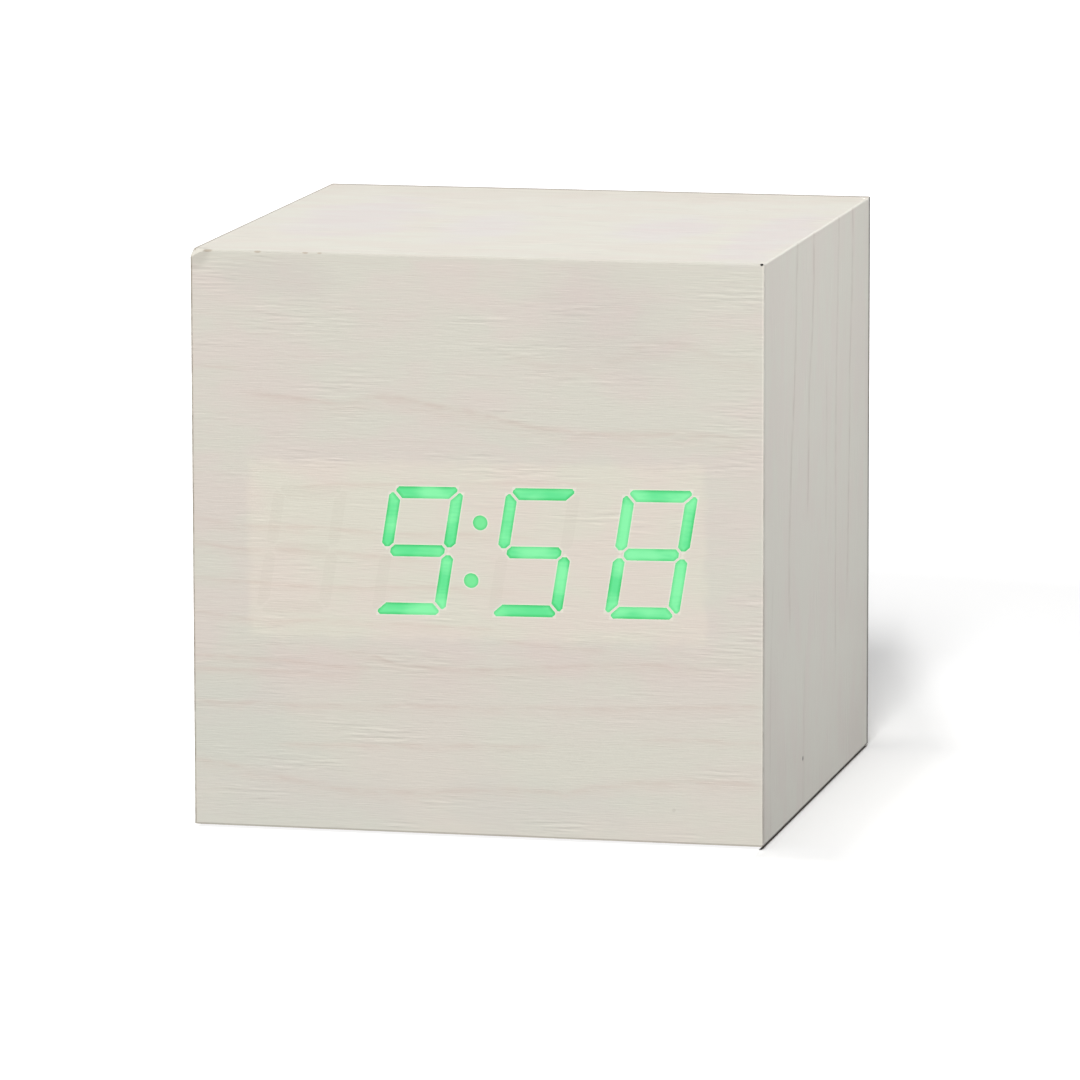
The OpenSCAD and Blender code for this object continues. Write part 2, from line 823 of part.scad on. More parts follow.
module spacer(panel_y, board_y) {
    difference() {
        rod_y(panel_y, board_y, spacer_r, spacer_r);
        screw_hole(panel_y, board_y);
    }
}

module board_screw(panel_y, board_back_y) {
    rod_y(panel_y - board_screw_bite, board_back_y + board_head_h / 2, board_screw_r, board_screw_r);
    rod_y(board_back_y, board_back_y + board_head_h, board_head_r, board_head_r);
}

// Pilot hole in a panel for a board screw.
module board_pilot(panel_y) {
    r = board_screw_r + pilot_clear;
    rod_y(panel_y - board_screw_bite - pilot_clear, panel_y + cut, r, r);
}

// Control board, its back facing the back panel

module at_control_fixings() {
    for (x = [-1, 1], z = control_fix_z) translate([x * control_fix_x, 0, z]) children();
}

module control_board() {
    color(BOARD_GREEN) difference() {
        block_at([0, control_z + control_h / 2], control_w, control_h, control_front_y, control_back_y);
        at_control_fixings() screw_hole(control_front_y, control_back_y);
    }
}

module board_spacers() {
    color(WHITE_PLASTIC) at_control_fixings() spacer(control_back_y, hollow_half);
}

module board_screws() {
    color(STEEL) at_control_fixings() mirror([0, 1, 0]) board_screw(-hollow_half, -control_front_y);
}

module controller_chip() {
    lead_pitch = chip_l / (chip_leads + 0.5);
    lead_w = lead_pitch / 3;
    lead_out = 1.4;
    lead_t = 0.3;
    standoff = 0.1;
    color(BLACK_PLASTIC) {
        block_at(chip_at, chip_l, chip_w, control_front_y - chip_h, control_front_y - standoff);
        for (i = [0:chip_leads - 1], up = [-1, 1])
            block_at(
                chip_at + [(i - (chip_leads - 1) / 2) * lead_pitch, up * chip_w / 2],
                lead_w, 2 * lead_out, control_front_y - lead_t, control_front_y
            );
    }
}

module crystal() {
    end_r = crystal_w / 2;
    reach = crystal_l / 2 - end_r;
    color(STEEL) translate([crystal_at.x, 0, crystal_at.y])
        plate_y(control_front_y - crystal_h, control_front_y) union() {
            square([2 * reach, crystal_w], center = true);
            for (x = [-1, 1]) translate([x * reach, 0]) circle(end_r);
        }
}

module capacitor() {
    foot_h = 0.8;
    crimp = 0.25;
    crimp_y = control_front_y - foot_h - 1;
    color([0.13, 0.16, 0.24]) translate([capacitor_at.x, 0, capacitor_at.y]) union() {
        rod_y(control_front_y - foot_h, control_front_y, capacitor_r, capacitor_r);
        rod_y(crimp_y, control_front_y - foot_h, capacitor_r - crimp, capacitor_r - crimp);
        rod_y(control_front_y - capacitor_h, crimp_y, capacitor_r, capacitor_r);
    }
}

module backup_cell_holder() {
    seat_r = coin_r + cell_slack;
    color(BLACK_PLASTIC) translate([coin_at.x, 0, coin_at.y]) difference() {
        rod_y(control_front_y - coin_wall - coin_t / 2, control_front_y, coin_out, coin_out);
        rod_y(control_front_y - coin_wall - coin_t, control_front_y - coin_wall, seat_r, seat_r);
    }
}

module backup_cell() {
    y1 = control_front_y - coin_wall;
    rim = 0.8;
    color(STEEL) translate([coin_at.x, 0, coin_at.y]) union() {
        rod_y(y1 - coin_t, y1 - coin_t / 4, coin_r, coin_r);
        rod_y(y1 - coin_t / 4, y1, coin_r - rim, coin_r - rim);
    }
}

module buzzer() {
    mouth_r = 1;
    mouth_d = 2;
    top_y = control_back_y + buzzer_h;
    color(BLACK_PLASTIC) translate([sound_at.x, 0, sound_at.y]) difference() {
        rod_y(control_back_y, top_y, buzzer_r, buzzer_r);
        rod_y(top_y - mouth_d, top_y + cut, mouth_r, mouth_r);
    }
}

module microphone() {
    mouth_d = 0.5;
    mouth_r = mic_r - 0.6;
    top_y = control_back_y + mic_h;
    color(STEEL) translate([mic_at.x, 0, mic_at.y]) difference() {
        rod_y(control_back_y, top_y, mic_r, mic_r);
        rod_y(top_y - mouth_d, top_y + cut, mouth_r, mouth_r);
    }
}

module dc_jack() {
    face_y = hollow_half - jack_gap;
    color(BLACK_PLASTIC) difference() {
        block_at(inlet_at, jack_w, jack_w, control_back_y, face_y);
        translate([inlet_at.x, 0, inlet_at.y]) rod_y(face_y - socket_d, face_y + cut, socket_r, socket_r);
    }
}

module dc_jack_pin() {
    tip_l = socket_pin_r;
    y0 = hollow_half - jack_gap - socket_d;
    y1 = y0 + socket_pin_l;
    color(BRASS) translate([inlet_at.x, 0, inlet_at.y]) union() {
        rod_y(y0, y1 - tip_l, socket_pin_r, socket_pin_r);
        rod_y(y1 - tip_l, y1, socket_pin_r, socket_pin_r / 2);
    }
}

module board_header() {
    color(BLACK_PLASTIC)
        block_at(board_header_at, header_l, header_w, control_front_y - header_d, control_front_y);
}

// Flat cable from the display's header to the control board's, in an easy curve.
module ribbon_cable() {
    steps = 24;
    start = [display_back_y + header_d, ribbon_z];
    end = [control_front_y - header_d, board_header_at.y];
    ease = (end.x - start.x) / 2;
    line = bezier_run([start, start + [ease, 0], end - [ease, 0], end], steps);
    t = tangents(line);
    edge = [for (i = [0:steps]) ribbon_t / 2 * [-t[i].y, t[i].x]];
    color(RIBBON_GREY) bar_x(ribbon_w) polygon(concat(
        [for (i = [0:steps]) line[i] + edge[i]],
        [for (i = [steps:-1:0]) line[i] - edge[i]]
    ));
}

module battery_plug() {
    color(WHITE_PLASTIC) block_at(plug_at, plug_l, plug_w, control_front_y - plug_d, control_front_y);
}

// A battery lead from a solder tab at [x, y], leaving towards the middle, to the plug's face.
module battery_lead(x, tab_y, plug_x, ease) {
    steps = 20;
    sides = 8;
    z = bay_top + lead_d / 2 + 0.1;
    start = [x, tab_y, z];
    end = [plug_x, control_front_y - plug_d, plug_at.y];
    inwards = -sign(tab_y);
    tube(
        bezier_run([start, start + [0, inwards * ease[0], 0], end - [0, ease[1], 0], end], steps),
        lead_d / 2, sides, [0, 0, 1]
    );
}

module red_battery_lead() {
    color(LEAD_RED) battery_lead(cell_x[0], contact_y, plug_at.x - plug_l / 4, [red_out, red_in]);
}

module black_battery_lead() {
    color(LEAD_BLACK) battery_lead(cell_x[2], -contact_y, plug_at.x + plug_l / 4, [black_out, black_in]);
}

// Buttons and their switches

module push_switch(i) {
    bore_d = stem_seat + button_travel + stem_clear;
    color(BLACK_PLASTIC) difference() {
        block_at([button_x[i], button_z], switch_w, switch_w, control_back_y, switch_top_y);
        translate([button_x[i], 0, button_z])
            rod_y(switch_top_y - bore_d, switch_top_y + cut, stem_r + stem_clear, stem_r + stem_clear);
    }
}

module switch_stem(i) {
    color(WHITE_PLASTIC) translate([button_x[i], 0, button_z])
        rod_y(switch_top_y - stem_seat, flange_y, stem_r, stem_r);
}

module push_button(i) {
    face_y = case_half - button_sink;
    bevel = 0.4;
    color(BLACK_PLASTIC) translate([button_x[i], 0, button_z]) difference() {
        union() {
            rod_y(flange_y, face_y - bevel, button_r, button_r);
            rod_y(face_y - bevel, face_y, button_r, button_r - bevel);
            rod_y(flange_y, flange_y + flange_t, button_r + flange_w, button_r + flange_w);
        }
        plate_y(face_y - sign_d, face_y + cut) children();
    }
}

module triangle_sign(up) {
    polygon([for (a = [90, 210, 330]) sign_r * [cos(a), up * sin(a)]]);
}

module set_switch() push_switch(0);
module up_switch() push_switch(1);
module down_switch() push_switch(2);
module set_switch_stem() switch_stem(0);
module up_switch_stem() switch_stem(1);
module down_switch_stem() switch_stem(2);
module set_button() push_button(0) circle(sign_r / 2);
module up_button() push_button(1) triangle_sign(1);
module down_button() push_button(2) triangle_sign(-1);

// Base, battery bay and door

module at_base_fixings() {
    for (x = [-1, 1], y = [-1, 1]) translate([x * cleat_x, y * base_screw_y, 0]) children();
}

module base_plate() {
    head_room = 0.15;
    recess_half = door_half + door_side_gap;
    pocket_r = barrel_r + barrel_gap;
    color(BLACK_PLASTIC) difference() {
        union() {
            box([-base_half, -base_half, base_z], [base_half, base_half, base_top]);
            box([-bay_w / 2 - bay_wall, -base_half, base_z], [bay_w / 2 + bay_wall, base_half, bay_top]);
        }
        // The wells, and the opening through which the cells go in
        for (x = cell_x) translate([x, 0, cell_z]) rod_y(-bay_l / 2, bay_l / 2, well_r, well_r);
        box([-bay_w / 2, -bay_l / 2, base_top], [bay_w / 2, bay_l / 2, cell_z]);
        box([-bay_w / 2, -opening_half, base_z - cut], [bay_w / 2, opening_half, cell_z]);
        // The door's seat and its hinge
        box(
            [hinge_x, -recess_half, base_z - cut],
            [latch_x + door_end_gap, recess_half, base_z + door_t + door_side_gap]
        );
        box([hinge_x - pocket_r, -recess_half, base_z - cut], [hinge_x + pocket_r, recess_half, hinge_z]);
        translate([hinge_x, 0, hinge_z]) {
            bar_y(recess_half, pocket_r);
            bar_y(door_half + hinge_pin_l + door_side_gap, hinge_pin_r + hinge_pin_clear);
        }
        // A notch for a fingernail
        box(
            [latch_x, -notch_l / 2, base_z - cut],
            [latch_x + door_end_gap + notch_w, notch_l / 2, base_z + notch_d]
        );
        // Screw holes, with room for the heads
        at_base_fixings() {
            translate([0, 0, base_z - cut])
                cylinder(h = base_t + 2 * cut, r = base_screw_r + screw_clear);
            translate([0, 0, base_z - cut])
                cylinder(h = base_head_h + head_room + cut, r = base_head_r + head_room);
        }
        // Slots for the solder tabs
        for (i = [0, 2]) solder_tab(i, tab_clear);
    }
}

// A bar along Y, of half length reach, centred on the origin.
module bar_y(reach, r) {
    rod_y(-reach, reach, r, r);
}

module battery_door() {
    mid_z = base_z + door_t / 2;
    grip_x = latch_x - 3;
    arrow_r = 3;
    arrow_x = grip_x - groove_n * groove_pitch - arrow_r;
    color(BLACK_PLASTIC) difference() {
        union() {
            box([hinge_x, -door_half, base_z], [latch_x, door_half, base_z + door_t]);
            translate([hinge_x, 0, hinge_z]) {
                bar_y(door_half, barrel_r);
                bar_y(door_half + hinge_pin_l, hinge_pin_r);
            }
            for (side = [-1, 1])
                translate([latch_x + detent_out - detent_r, side * door_half / 2, mid_z])
                    bar_y(detent_l / 2, detent_r);
        }
        // Grip grooves, and an arrow towards the edge that opens
        for (i = [0:groove_n - 1])
            translate([grip_x - i * groove_pitch, 0, base_z])
                cube([groove_w, groove_l, 2 * groove_d], center = true);
        translate([arrow_x, 0, base_z - cut]) linear_extrude(groove_d + cut)
            polygon([for (a = [0, 120, 240]) arrow_r * [cos(a), sin(a)]]);
    }
}

module base_cleats() {
    r = base_screw_r + pilot_clear;
    color(PINE) difference() {
        for (x = [-1, 1])
            box(
                [x * cleat_x - cleat_w / 2, -cleat_l / 2, base_top],
                [x * cleat_x + cleat_w / 2, cleat_l / 2, base_top + cleat_h]
            );
        at_base_fixings() translate([0, 0, base_top - cut])
            cylinder(h = base_screw_bite + pilot_clear + cut, r = r);
    }
}

module base_screws() {
    head_sink = 0.1;
    slot_w = 0.7;
    slot_l = 3;
    slot_d = 0.8;
    color(STEEL) at_base_fixings() translate([0, 0, base_z + head_sink]) difference() {
        union() {
            cylinder(h = base_head_h, r = base_head_r);
            cylinder(h = base_t - head_sink + base_screw_bite, r = base_screw_r);
        }
        for (turn = [0, 90]) rotate([0, 0, turn])
            translate([-slot_l / 2, -slot_w / 2, -cut]) cube([slot_l, slot_w, slot_d + cut]);
    }
}

module foot_pads() {
    color(RUBBER) for (x = [-1, 1], y = [-1, 1])
        translate([x * pad_xy, y * pad_xy, 0]) cylinder(h = base_z, r = pad_r);
}

// Cells, contacts and springs; each cell's nub points to its own end of the bay

module battery_cells() {
    gap = cell_slack / 2;
    wrap_r = cell_d / 2;
    cap_r = wrap_r - 0.5;
    cap_l = 0.3;
    color(CELL_JACKET) for (i = [0:2])
        translate([cell_x[i], 0, cell_z]) rotate([0, 0, cell_dir[i] > 0 ? 0 : 180])
            translate([0, contact_y - gap, 0]) union() {
                rod_y(-nub_l, 0, nub_r, nub_r);
                rod_y(-cell_l + cap_l, -nub_l, wrap_r, wrap_r);
                rod_y(-cell_l, -cell_l + cap_l, cap_r, cap_r);
            }
}

// Points along a spring: from the contact plate at foot_y towards the cell.
spring_steps = 12; // a turn
function spring_points(foot_y, way) =
    let(
        n = round(spring_turns * spring_steps),
        rise = spring_l - spring_wire - cell_slack,
        taper = spring_tip_r - spring_foot_r
    )
    [for (k = [0:n]) let(s = k / n, a = 360 * k / spring_steps, r = spring_foot_r + s * taper)
        [r * cos(a), foot_y + way * (spring_wire / 2 + cell_slack / 2 + s * rise), r * sin(a)]];

// Least gap between two turns of a spring, measured on its points.
function least_gap(p) =
    min([for (i = [0:len(p) - 1], k = [0:len(p) - 1])
        if (k - i > spring_steps * 0.6) norm(p[k] - p[i])]) - spring_wire;

module battery_springs() {
    sides = 6;
    echo(spring_gap = least_gap(spring_points(0, 1)));
    color(STEEL) for (i = [0:2])
        translate([cell_x[i], 0, cell_z])
            tube(spring_points(-cell_dir[i] * contact_y, cell_dir[i]), spring_wire / 2, sides, [1, 0, 0]);
}

// A contact plate against the end wall of cell i, at the bay's end given by way.
module contact_plate(i, way) {
    y = way * (contact_y + contact_t / 2);
    box(
        [cell_x[i] - contact_w / 2, y - contact_t / 2, cell_z - contact_drop],
        [cell_x[i] + contact_w / 2, y + contact_t / 2, cell_z + contact_rise]
    );
}

// The strap that joins the plates of cells i and i + 1.
module contact_strap(i, way) {
    y = way * (contact_y + contact_t / 2);
    box(
        [cell_x[i], y - contact_t / 2, cell_z - contact_drop],
        [cell_x[i + 1], y + contact_t / 2, cell_z + strap_top]
    );
}

// The tab that carries an end contact up through the bay's roof.
module solder_tab(i, grow) {
    way = i == 0 ? cell_dir[0] : -cell_dir[2];
    y = way * (contact_y + contact_t / 2);
    box(
        [cell_x[i] - tab_w / 2 - grow, y - contact_t / 2 - grow, cell_z],
        [cell_x[i] + tab_w / 2 + grow, y + contact_t / 2 + grow, bay_top + tab_h]
    );
}

module contact_plates() {
    color(BRASS) {
        for (i = [0:2], way = [-1, 1]) contact_plate(i, way);
        contact_strap(0, -cell_dir[0]);
        contact_strap(1, -cell_dir[1]);
        for (i = [0, 2]) solder_tab(i, 0);
    }
}

front_panel();
top_panel();
left_panel();
right_panel();
back_panel();
wrap_veneer();
left_veneer();
right_veneer();
lit_segments();
unlit_segments();
diffuser_film();
segment_reflector();
light_guides();
display_leds();
display_board();
display_spacers();
display_screws();
display_header();
control_board();
board_spacers();
board_screws();
controller_chip();
crystal();
capacitor();
backup_cell_holder();
backup_cell();
buzzer();
microphone();
dc_jack();
dc_jack_pin();
board_header();
ribbon_cable();
battery_plug();
red_battery_lead();
black_battery_lead();
set_switch();
up_switch();
down_switch();
set_switch_stem();
up_switch_stem();
down_switch_stem();
set_button();
up_button();
down_button();
base_plate();
base_cleats();
base_screws();
foot_pads();
battery_door();
battery_cells();
battery_springs();
contact_plates();
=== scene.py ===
# %% [markdown]
# # A digital desk clock in pale veneer
# The clock is a 68 mm cube of fibreboard panels under a white-washed wood veneer. Green digits shine
# through the veneer, buttons sit in the back, and three cells lie behind a door in the base.
# The shapes come from a packed CAD model, and this lesson dresses them: it sets a camera and lights,
# grows wood, plastic and metal finishes from nodes, and makes the small pieces that repeat.

# %% Load the packed clock
import json
import math

import bmesh
import bpy
from mathutils import Matrix, Quaternion, Vector


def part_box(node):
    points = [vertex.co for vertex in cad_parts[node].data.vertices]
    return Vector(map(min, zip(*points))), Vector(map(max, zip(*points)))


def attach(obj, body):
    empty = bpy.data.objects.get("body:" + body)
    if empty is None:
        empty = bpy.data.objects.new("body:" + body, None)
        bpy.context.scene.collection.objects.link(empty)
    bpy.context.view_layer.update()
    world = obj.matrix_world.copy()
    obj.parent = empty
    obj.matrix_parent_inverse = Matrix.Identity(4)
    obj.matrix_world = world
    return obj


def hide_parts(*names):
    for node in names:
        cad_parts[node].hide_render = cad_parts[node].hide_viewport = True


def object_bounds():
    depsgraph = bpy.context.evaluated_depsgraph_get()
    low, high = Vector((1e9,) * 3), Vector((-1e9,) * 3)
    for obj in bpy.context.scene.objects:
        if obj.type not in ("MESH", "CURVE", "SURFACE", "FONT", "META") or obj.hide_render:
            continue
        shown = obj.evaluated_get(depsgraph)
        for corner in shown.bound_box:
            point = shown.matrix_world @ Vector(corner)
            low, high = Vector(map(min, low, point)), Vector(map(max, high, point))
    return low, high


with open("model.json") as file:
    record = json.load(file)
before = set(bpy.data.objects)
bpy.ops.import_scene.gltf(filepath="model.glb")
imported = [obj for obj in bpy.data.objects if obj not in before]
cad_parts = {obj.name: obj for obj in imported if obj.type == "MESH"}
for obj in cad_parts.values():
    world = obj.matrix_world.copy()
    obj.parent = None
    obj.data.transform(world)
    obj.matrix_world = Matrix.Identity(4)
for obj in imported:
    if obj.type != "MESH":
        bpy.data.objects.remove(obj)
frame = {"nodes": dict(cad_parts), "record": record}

cad_low, cad_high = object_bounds()
nodes = frame["nodes"]
scene = bpy.context.scene
MM = 0.001
print("clock", [round(side / MM, 2) for side in cad_high - cad_low], "mm,", len(nodes), "nodes")

# %% [markdown]
# ## Camera
# A product picture like this one is taken from a metre away with a long lens, so that the cube's
# upright edges stay nearly parallel. A constraint could aim the camera, but a place and a line of sight
# are plainer, and they let us work out where each corner lands in the picture.

# %% Place the camera
PICTURE = 1080
FOCAL = 8271.9
camera_data = bpy.data.cameras.new("camera")
camera_data.sensor_width = 36
camera_data.lens = FOCAL / PICTURE * camera_data.sensor_width
camera_data.clip_start, camera_data.clip_end = 0.05, 50
camera = bpy.data.objects.new("camera", camera_data)
scene.collection.objects.link(camera)
camera.location = (0.2139, -0.9572, 0.1867)
sight = Vector((-0.2153, 0.9637, -0.1578)).normalized()
camera.rotation_mode = "QUATERNION"
roll = Quaternion((0, 0, 1), math.radians(-0.10))
camera.rotation_quaternion = sight.to_track_quat("-Z", "Y") @ roll
scene.camera = camera


def in_picture(point):
    """Where a point lands in the picture, in pixels from its top left corner."""
    place = Matrix.Translation(camera.location) @ camera.rotation_quaternion.to_matrix().to_4x4()
    seen = place.inverted() @ Vector(point)
    scale = -FOCAL / seen.z
    return round(PICTURE / 2 + seen.x * scale, 1), round(PICTURE / 2 - seen.y * scale, 1)


FOOT_GAP = 0.4 * MM
for name, corner in {
    "front top left": (cad_low.x, cad_low.y, cad_high.z),
    "front bottom right": (cad_high.x, cad_low.y, FOOT_GAP),
    "back top right": cad_high,
}.items():
    print(name, in_picture(corner))

# %% [markdown]
# ## Short calls for nodes
# The light, the floor and every finish below are small nets of nodes. Linking each node by hand takes
# three lines, so a helper adds a node, feeds its sockets and hands back the output.

# %% Node helper


class Net:
    """A node tree with short calls that add one node each and return its output."""

    def __init__(self, tree):
        self.tree = tree

    def feed(self, socket, value):
        if isinstance(value, bpy.types.NodeSocket):
            self.tree.links.new(value, socket)
        else:
            socket.default_value = value

    def node(self, kind, inputs=None, family="ShaderNode", **settings):
        """A node with its settings, and its inputs by name or number."""
        made = self.tree.nodes.new(family + kind)
        for name, value in settings.items():
            setattr(made, name, value)
        for name, value in (inputs or {}).items():
            self.feed(made.inputs[name], value)
        return made

    def math(self, operation, *values):
        return self.node("Math", dict(enumerate(values)), operation=operation).outputs[0]

    def total(self, operation, values):
        """One value from many, by minimum, maximum, sum or product."""
        result = values[0]
        for value in values[1:]:
            result = self.math(operation, result, value)
        return result

    def times(self, *values):
        return self.total("MULTIPLY", values)

    def plus(self, *values):
        return self.total("ADD", values)

    def most(self, *values):
        return self.total("MAXIMUM", values)

    def minus(self, first, second):
        return self.math("SUBTRACT", first, second)

    def scaled(self, value, factor, shift):
        return self.math("MULTIPLY_ADD", value, factor, shift)

    def size(self, value):
        return self.math("ABSOLUTE", value)

    def vector(self, operation, first, second):
        made = self.node("VectorMath", {0: first, 1: second}, operation=operation)
        return made.outputs["Value" if operation == "DISTANCE" else "Vector"]

    def split(self, vector):
        return self.node("SeparateXYZ", {"Vector": vector}).outputs

    def join(self, x, y, z):
        return self.node("CombineXYZ", {"X": x, "Y": y, "Z": z}).outputs[0]

    def noise(self, vector, scale=1.0, detail=2.0, rough=0.5):
        """Noise over a point; three scales draw it out along the axes."""
        if isinstance(scale, tuple):
            vector, scale = self.vector("MULTIPLY", vector, scale), 1.0
        inputs = {"Vector": vector, "Scale": scale, "Detail": detail, "Roughness": rough}
        return self.node("TexNoise", inputs).outputs["Fac"]

    def ramp(self, value, start, end, low=0.0, high=1.0):
        """A smooth step from low at start to high at end."""
        inputs = {"Value": value, "From Min": start, "From Max": end, "To Min": low, "To Max": high}
        return self.node("MapRange", inputs, interpolation_type="SMOOTHSTEP").outputs[0]

    def mix(self, share, low, high, blend="MIX"):
        """Two colours mixed; in a Mix node they have sockets 6 and 7, and the result has 2."""
        inputs = {0: share, 6: low, 7: high}
        return self.node("Mix", inputs, data_type="RGBA", blend_type=blend).outputs[2]

    def group(self, tree, point, **inputs):
        return self.node("Group", dict(inputs, Point=point), node_tree=tree).outputs


def new_group(name, inputs, outputs, kind="Shader"):
    """An empty node group, with its input and output sockets."""
    tree = bpy.data.node_groups.new(name, kind + "NodeTree")
    for way, sockets in (("INPUT", inputs), ("OUTPUT", outputs)):
        for label, socket_kind in sockets.items():
            tree.interface.new_socket(label, in_out=way, socket_type="NodeSocket" + socket_kind)
    given = tree.nodes.new("NodeGroupInput").outputs
    result = tree.nodes.new("NodeGroupOutput").inputs
    return Net(tree), given, result


print("calls", [name for name in vars(Net) if not name.startswith("_")])

# %% [markdown]
# ## Light
# A broad lamp high in front lights the clock and throws the soft shadow behind it. A weaker one overhead,
# a little to the left, shades the floor close to the right side, and an even sky fills in, as the walls
# of a light tent would. Weaker lamps stand level with the other three sides, and the right one has a
# narrow beam, so that its light fades towards the foot. Together they are just bright enough that a
# colour renders about as it is written. Light Path keeps the sky plain white to the camera, to gloss
# and to glass. Gloss doesn't mirror the lamps in front and at the sides, which would wash the veneer out.

# %% Light the clock
scene.view_settings.view_transform = "Standard"
SKY = 0.2
WHITE = (1, 1, 1, 1)


def looked_at(net):
    """One for a ray from the camera, gloss or glass, and nothing for light that spreads in the scene."""
    path = net.node("LightPath").outputs
    kinds = net.plus(path["Is Camera Ray"], path["Is Glossy Ray"], path["Is Transmission Ray"])
    return net.math("MINIMUM", kinds, 1.0)


world = bpy.data.worlds.new("light_tent")
scene.world = world
world.use_nodes = True
net = Net(world.node_tree)
net.tree.nodes.clear()
sky = net.node("Background", {"Color": WHITE, "Strength": net.ramp(looked_at(net), 0.0, 1.0, SKY, 1.0)})
net.node("OutputWorld", {"Surface": sky.outputs[0]})


def area_lamp(name, place, target, size, power, beam=180):
    """A square lamp that faces the target and sends its light out in a beam of so many degrees."""
    data = bpy.data.lights.new(name, "AREA")
    data.size, data.energy, data.spread = size, power, math.radians(beam)
    lamp = bpy.data.objects.new(name, data)
    scene.collection.objects.link(lamp)
    lamp.visible_camera = False
    lamp.location = place
    lamp.rotation_euler = (Vector(target) - Vector(place)).to_track_quat("-Z", "Y").to_euler()
    return lamp


CENTRE = Vector((0, 0, 0.034))
KEY_WAY, KEY_REACH = Vector((0.14, -0.77, 0.62)), 2.6
key_lamp = area_lamp("key_lamp", CENTRE + KEY_WAY * KEY_REACH, CENTRE, size=0.75, power=64.6)
top_lamp = area_lamp("top_lamp", (-0.1, -0.15, 2.0), CENTRE, size=0.25, power=4.9)
side_lamps = [
    area_lamp("right_lamp", (0.6, 0, 0.1), (0.034, 0, 0.095), size=0.1, power=0.0625, beam=34),
    area_lamp("left_lamp", (-1.5, 0, 0.06), CENTRE, size=0.5, power=20),
    area_lamp("back_lamp", (0, 1.5, 0.06), CENTRE, size=0.5, power=20),
]
for lamp in [key_lamp] + side_lamps:
    lamp.visible_glossy = False
for lamp in [key_lamp, top_lamp] + side_lamps:
    print(lamp.name, round((lamp.location - CENTRE).length, 2), "m away")

# %% [markdown]
# ## Floor
# The floor is a wide sheet. To the camera it is white paper that shows the shadow, and outside the shadow
# it glows a little, so that it runs into the white sky. Under the clock it is painted dark, as shade, but
# along the front edge it is painted with a glow, where light creeps in. To the clock it is a duller sheet,
# so that less light comes back up. From below it is clear, and it doesn't stand in the way of a small lamp
# under it, so that the underside can be looked at too. Light linking also keeps the side lamps off the
# floor, where each of them would throw a shadow of its own.

# %% Lay the floor
FLOOR_SIDE = 12
FLOOR_SEEN, FLOOR_UNDER, FLOOR_BOUNCE = [(level, level, level, 1) for level in (0.96, 0.1, 0.1)]
GLOW_FAR, GLOW_NEAR, GLOW_FOOT = 0.8, 0.18, 0.9
SHADOW_TURN = 0.28  # how far the shadow's right edge leans to the left on its way back
# the lengths below are in metres, as the floor's own coordinates are
bpy.ops.mesh.primitive_plane_add(size=FLOOR_SIDE, location=(0, 0, 0))
floor = bpy.context.object
floor.name = "floor"
paper = bpy.data.materials.new("floor_paper")
paper.use_nodes = True
floor.data.materials.append(paper)
net = Net(paper.node_tree)
net.tree.nodes.clear()
place = net.node("TexCoord").outputs["Object"]
away = net.vector("DISTANCE", place, (0, 0, 0))
x, y, _ = net.split(place)
# painted shade: to the camera the floor is nearly black under the clock
under = net.times(*(net.ramp(net.size(way), 0.0339, 0.0337) for way in (x, y)))
colour = net.mix(looked_at(net), FLOOR_BOUNCE, net.mix(under, FLOOR_SEEN, FLOOR_UNDER))
sheet = net.node("BsdfDiffuse", {"Color": colour})
# painted light: under the front edge the floor glows for the camera, where light creeps in
at_foot = net.times(net.ramp(y, -0.0312, -0.0322, 0.0, GLOW_FOOT), net.ramp(x, 0.0336, 0.0334))
past_shadow = net.scaled(net.most(net.minus(y, 0.034), 0.0), SHADOW_TURN, x)
around = [
    net.ramp(past_shadow, 0.041, 0.050, 0.0, GLOW_NEAR),  # right of the shadow
    net.ramp(y, 0.09, 0.14, 0.0, GLOW_NEAR),  # behind the shadow
    net.ramp(y, -0.036, -0.044, 0.0, GLOW_NEAR),  # in front of the clock
    net.ramp(x, -0.0335, -0.036, 0.0, GLOW_FAR),  # left of the clock
    net.ramp(away, 0.1, 0.3, 0.0, GLOW_FAR),  # far from the clock
]
shine = net.times(net.node("LightPath").outputs["Is Camera Ray"], net.most(at_foot, *around))
glow = net.node("Emission", {"Color": WHITE, "Strength": shine})
lit_sheet = net.node("AddShader", {0: sheet.outputs[0], 1: glow.outputs[0]})
below = net.node("NewGeometry").outputs["Backfacing"]
clear = net.node("BsdfTransparent")
one_way = net.node("MixShader", {0: below, 1: lit_sheet.outputs[0], 2: clear.outputs[0]})
net.node("OutputMaterial", {"Surface": one_way.outputs[0]})
under_lamp = area_lamp("under_lamp", (0, 0, -1.2), CENTRE, size=0.3, power=7)
all_but_floor = bpy.data.collections.new("all_but_floor")
all_but_floor.objects.link(floor)
all_but_floor.collection_objects[0].light_linking.link_state = "EXCLUDE"
under_lamp.light_linking.blocker_collection = all_but_floor
for lamp in side_lamps:
    lamp.light_linking.receiver_collection = all_but_floor
print("floor", floor.dimensions.x, "m wide")

# %% [markdown]
# ## Where the digits are
# The veneer is painted brighter round a lit segment, as light spreading from it, and each segment is darker
# along its rim. Both need the distance to the nearest lit segment, so one group works it out from the
# clock's own layout. All digits have the same seven bars, and a bar on the left mirrors one on the right,
# so folding the plane leaves only three bars to measure. A bar or digit that is off counts as far away.

# %% Distance to the segments
DISPLAY_Z, DISPLAY_TURN, LEAN = 33.9, math.radians(0.9), math.tan(math.radians(10))
DIGIT_W, DIGIT_H, STROKE, GAP = 8.8, 15.1, 1.4, 0.3
WINDOW_W, WINDOW_H, PITCH = 54.4, 20.7, 13.8792
COLON_R, COLON_V = 0.875, 3.4
FAR = 100.0
half = STROKE / 2
line_w, line_h = (DIGIT_W - STROKE) / 2, (DIGIT_H - STROKE) / 2
back_off = GAP / math.sqrt(2)
end_w, end_h = line_w - back_off, line_h - back_off
TOP_CLIP, SIDE_CLIP, TIP = 0.55, 0.5, 0.25

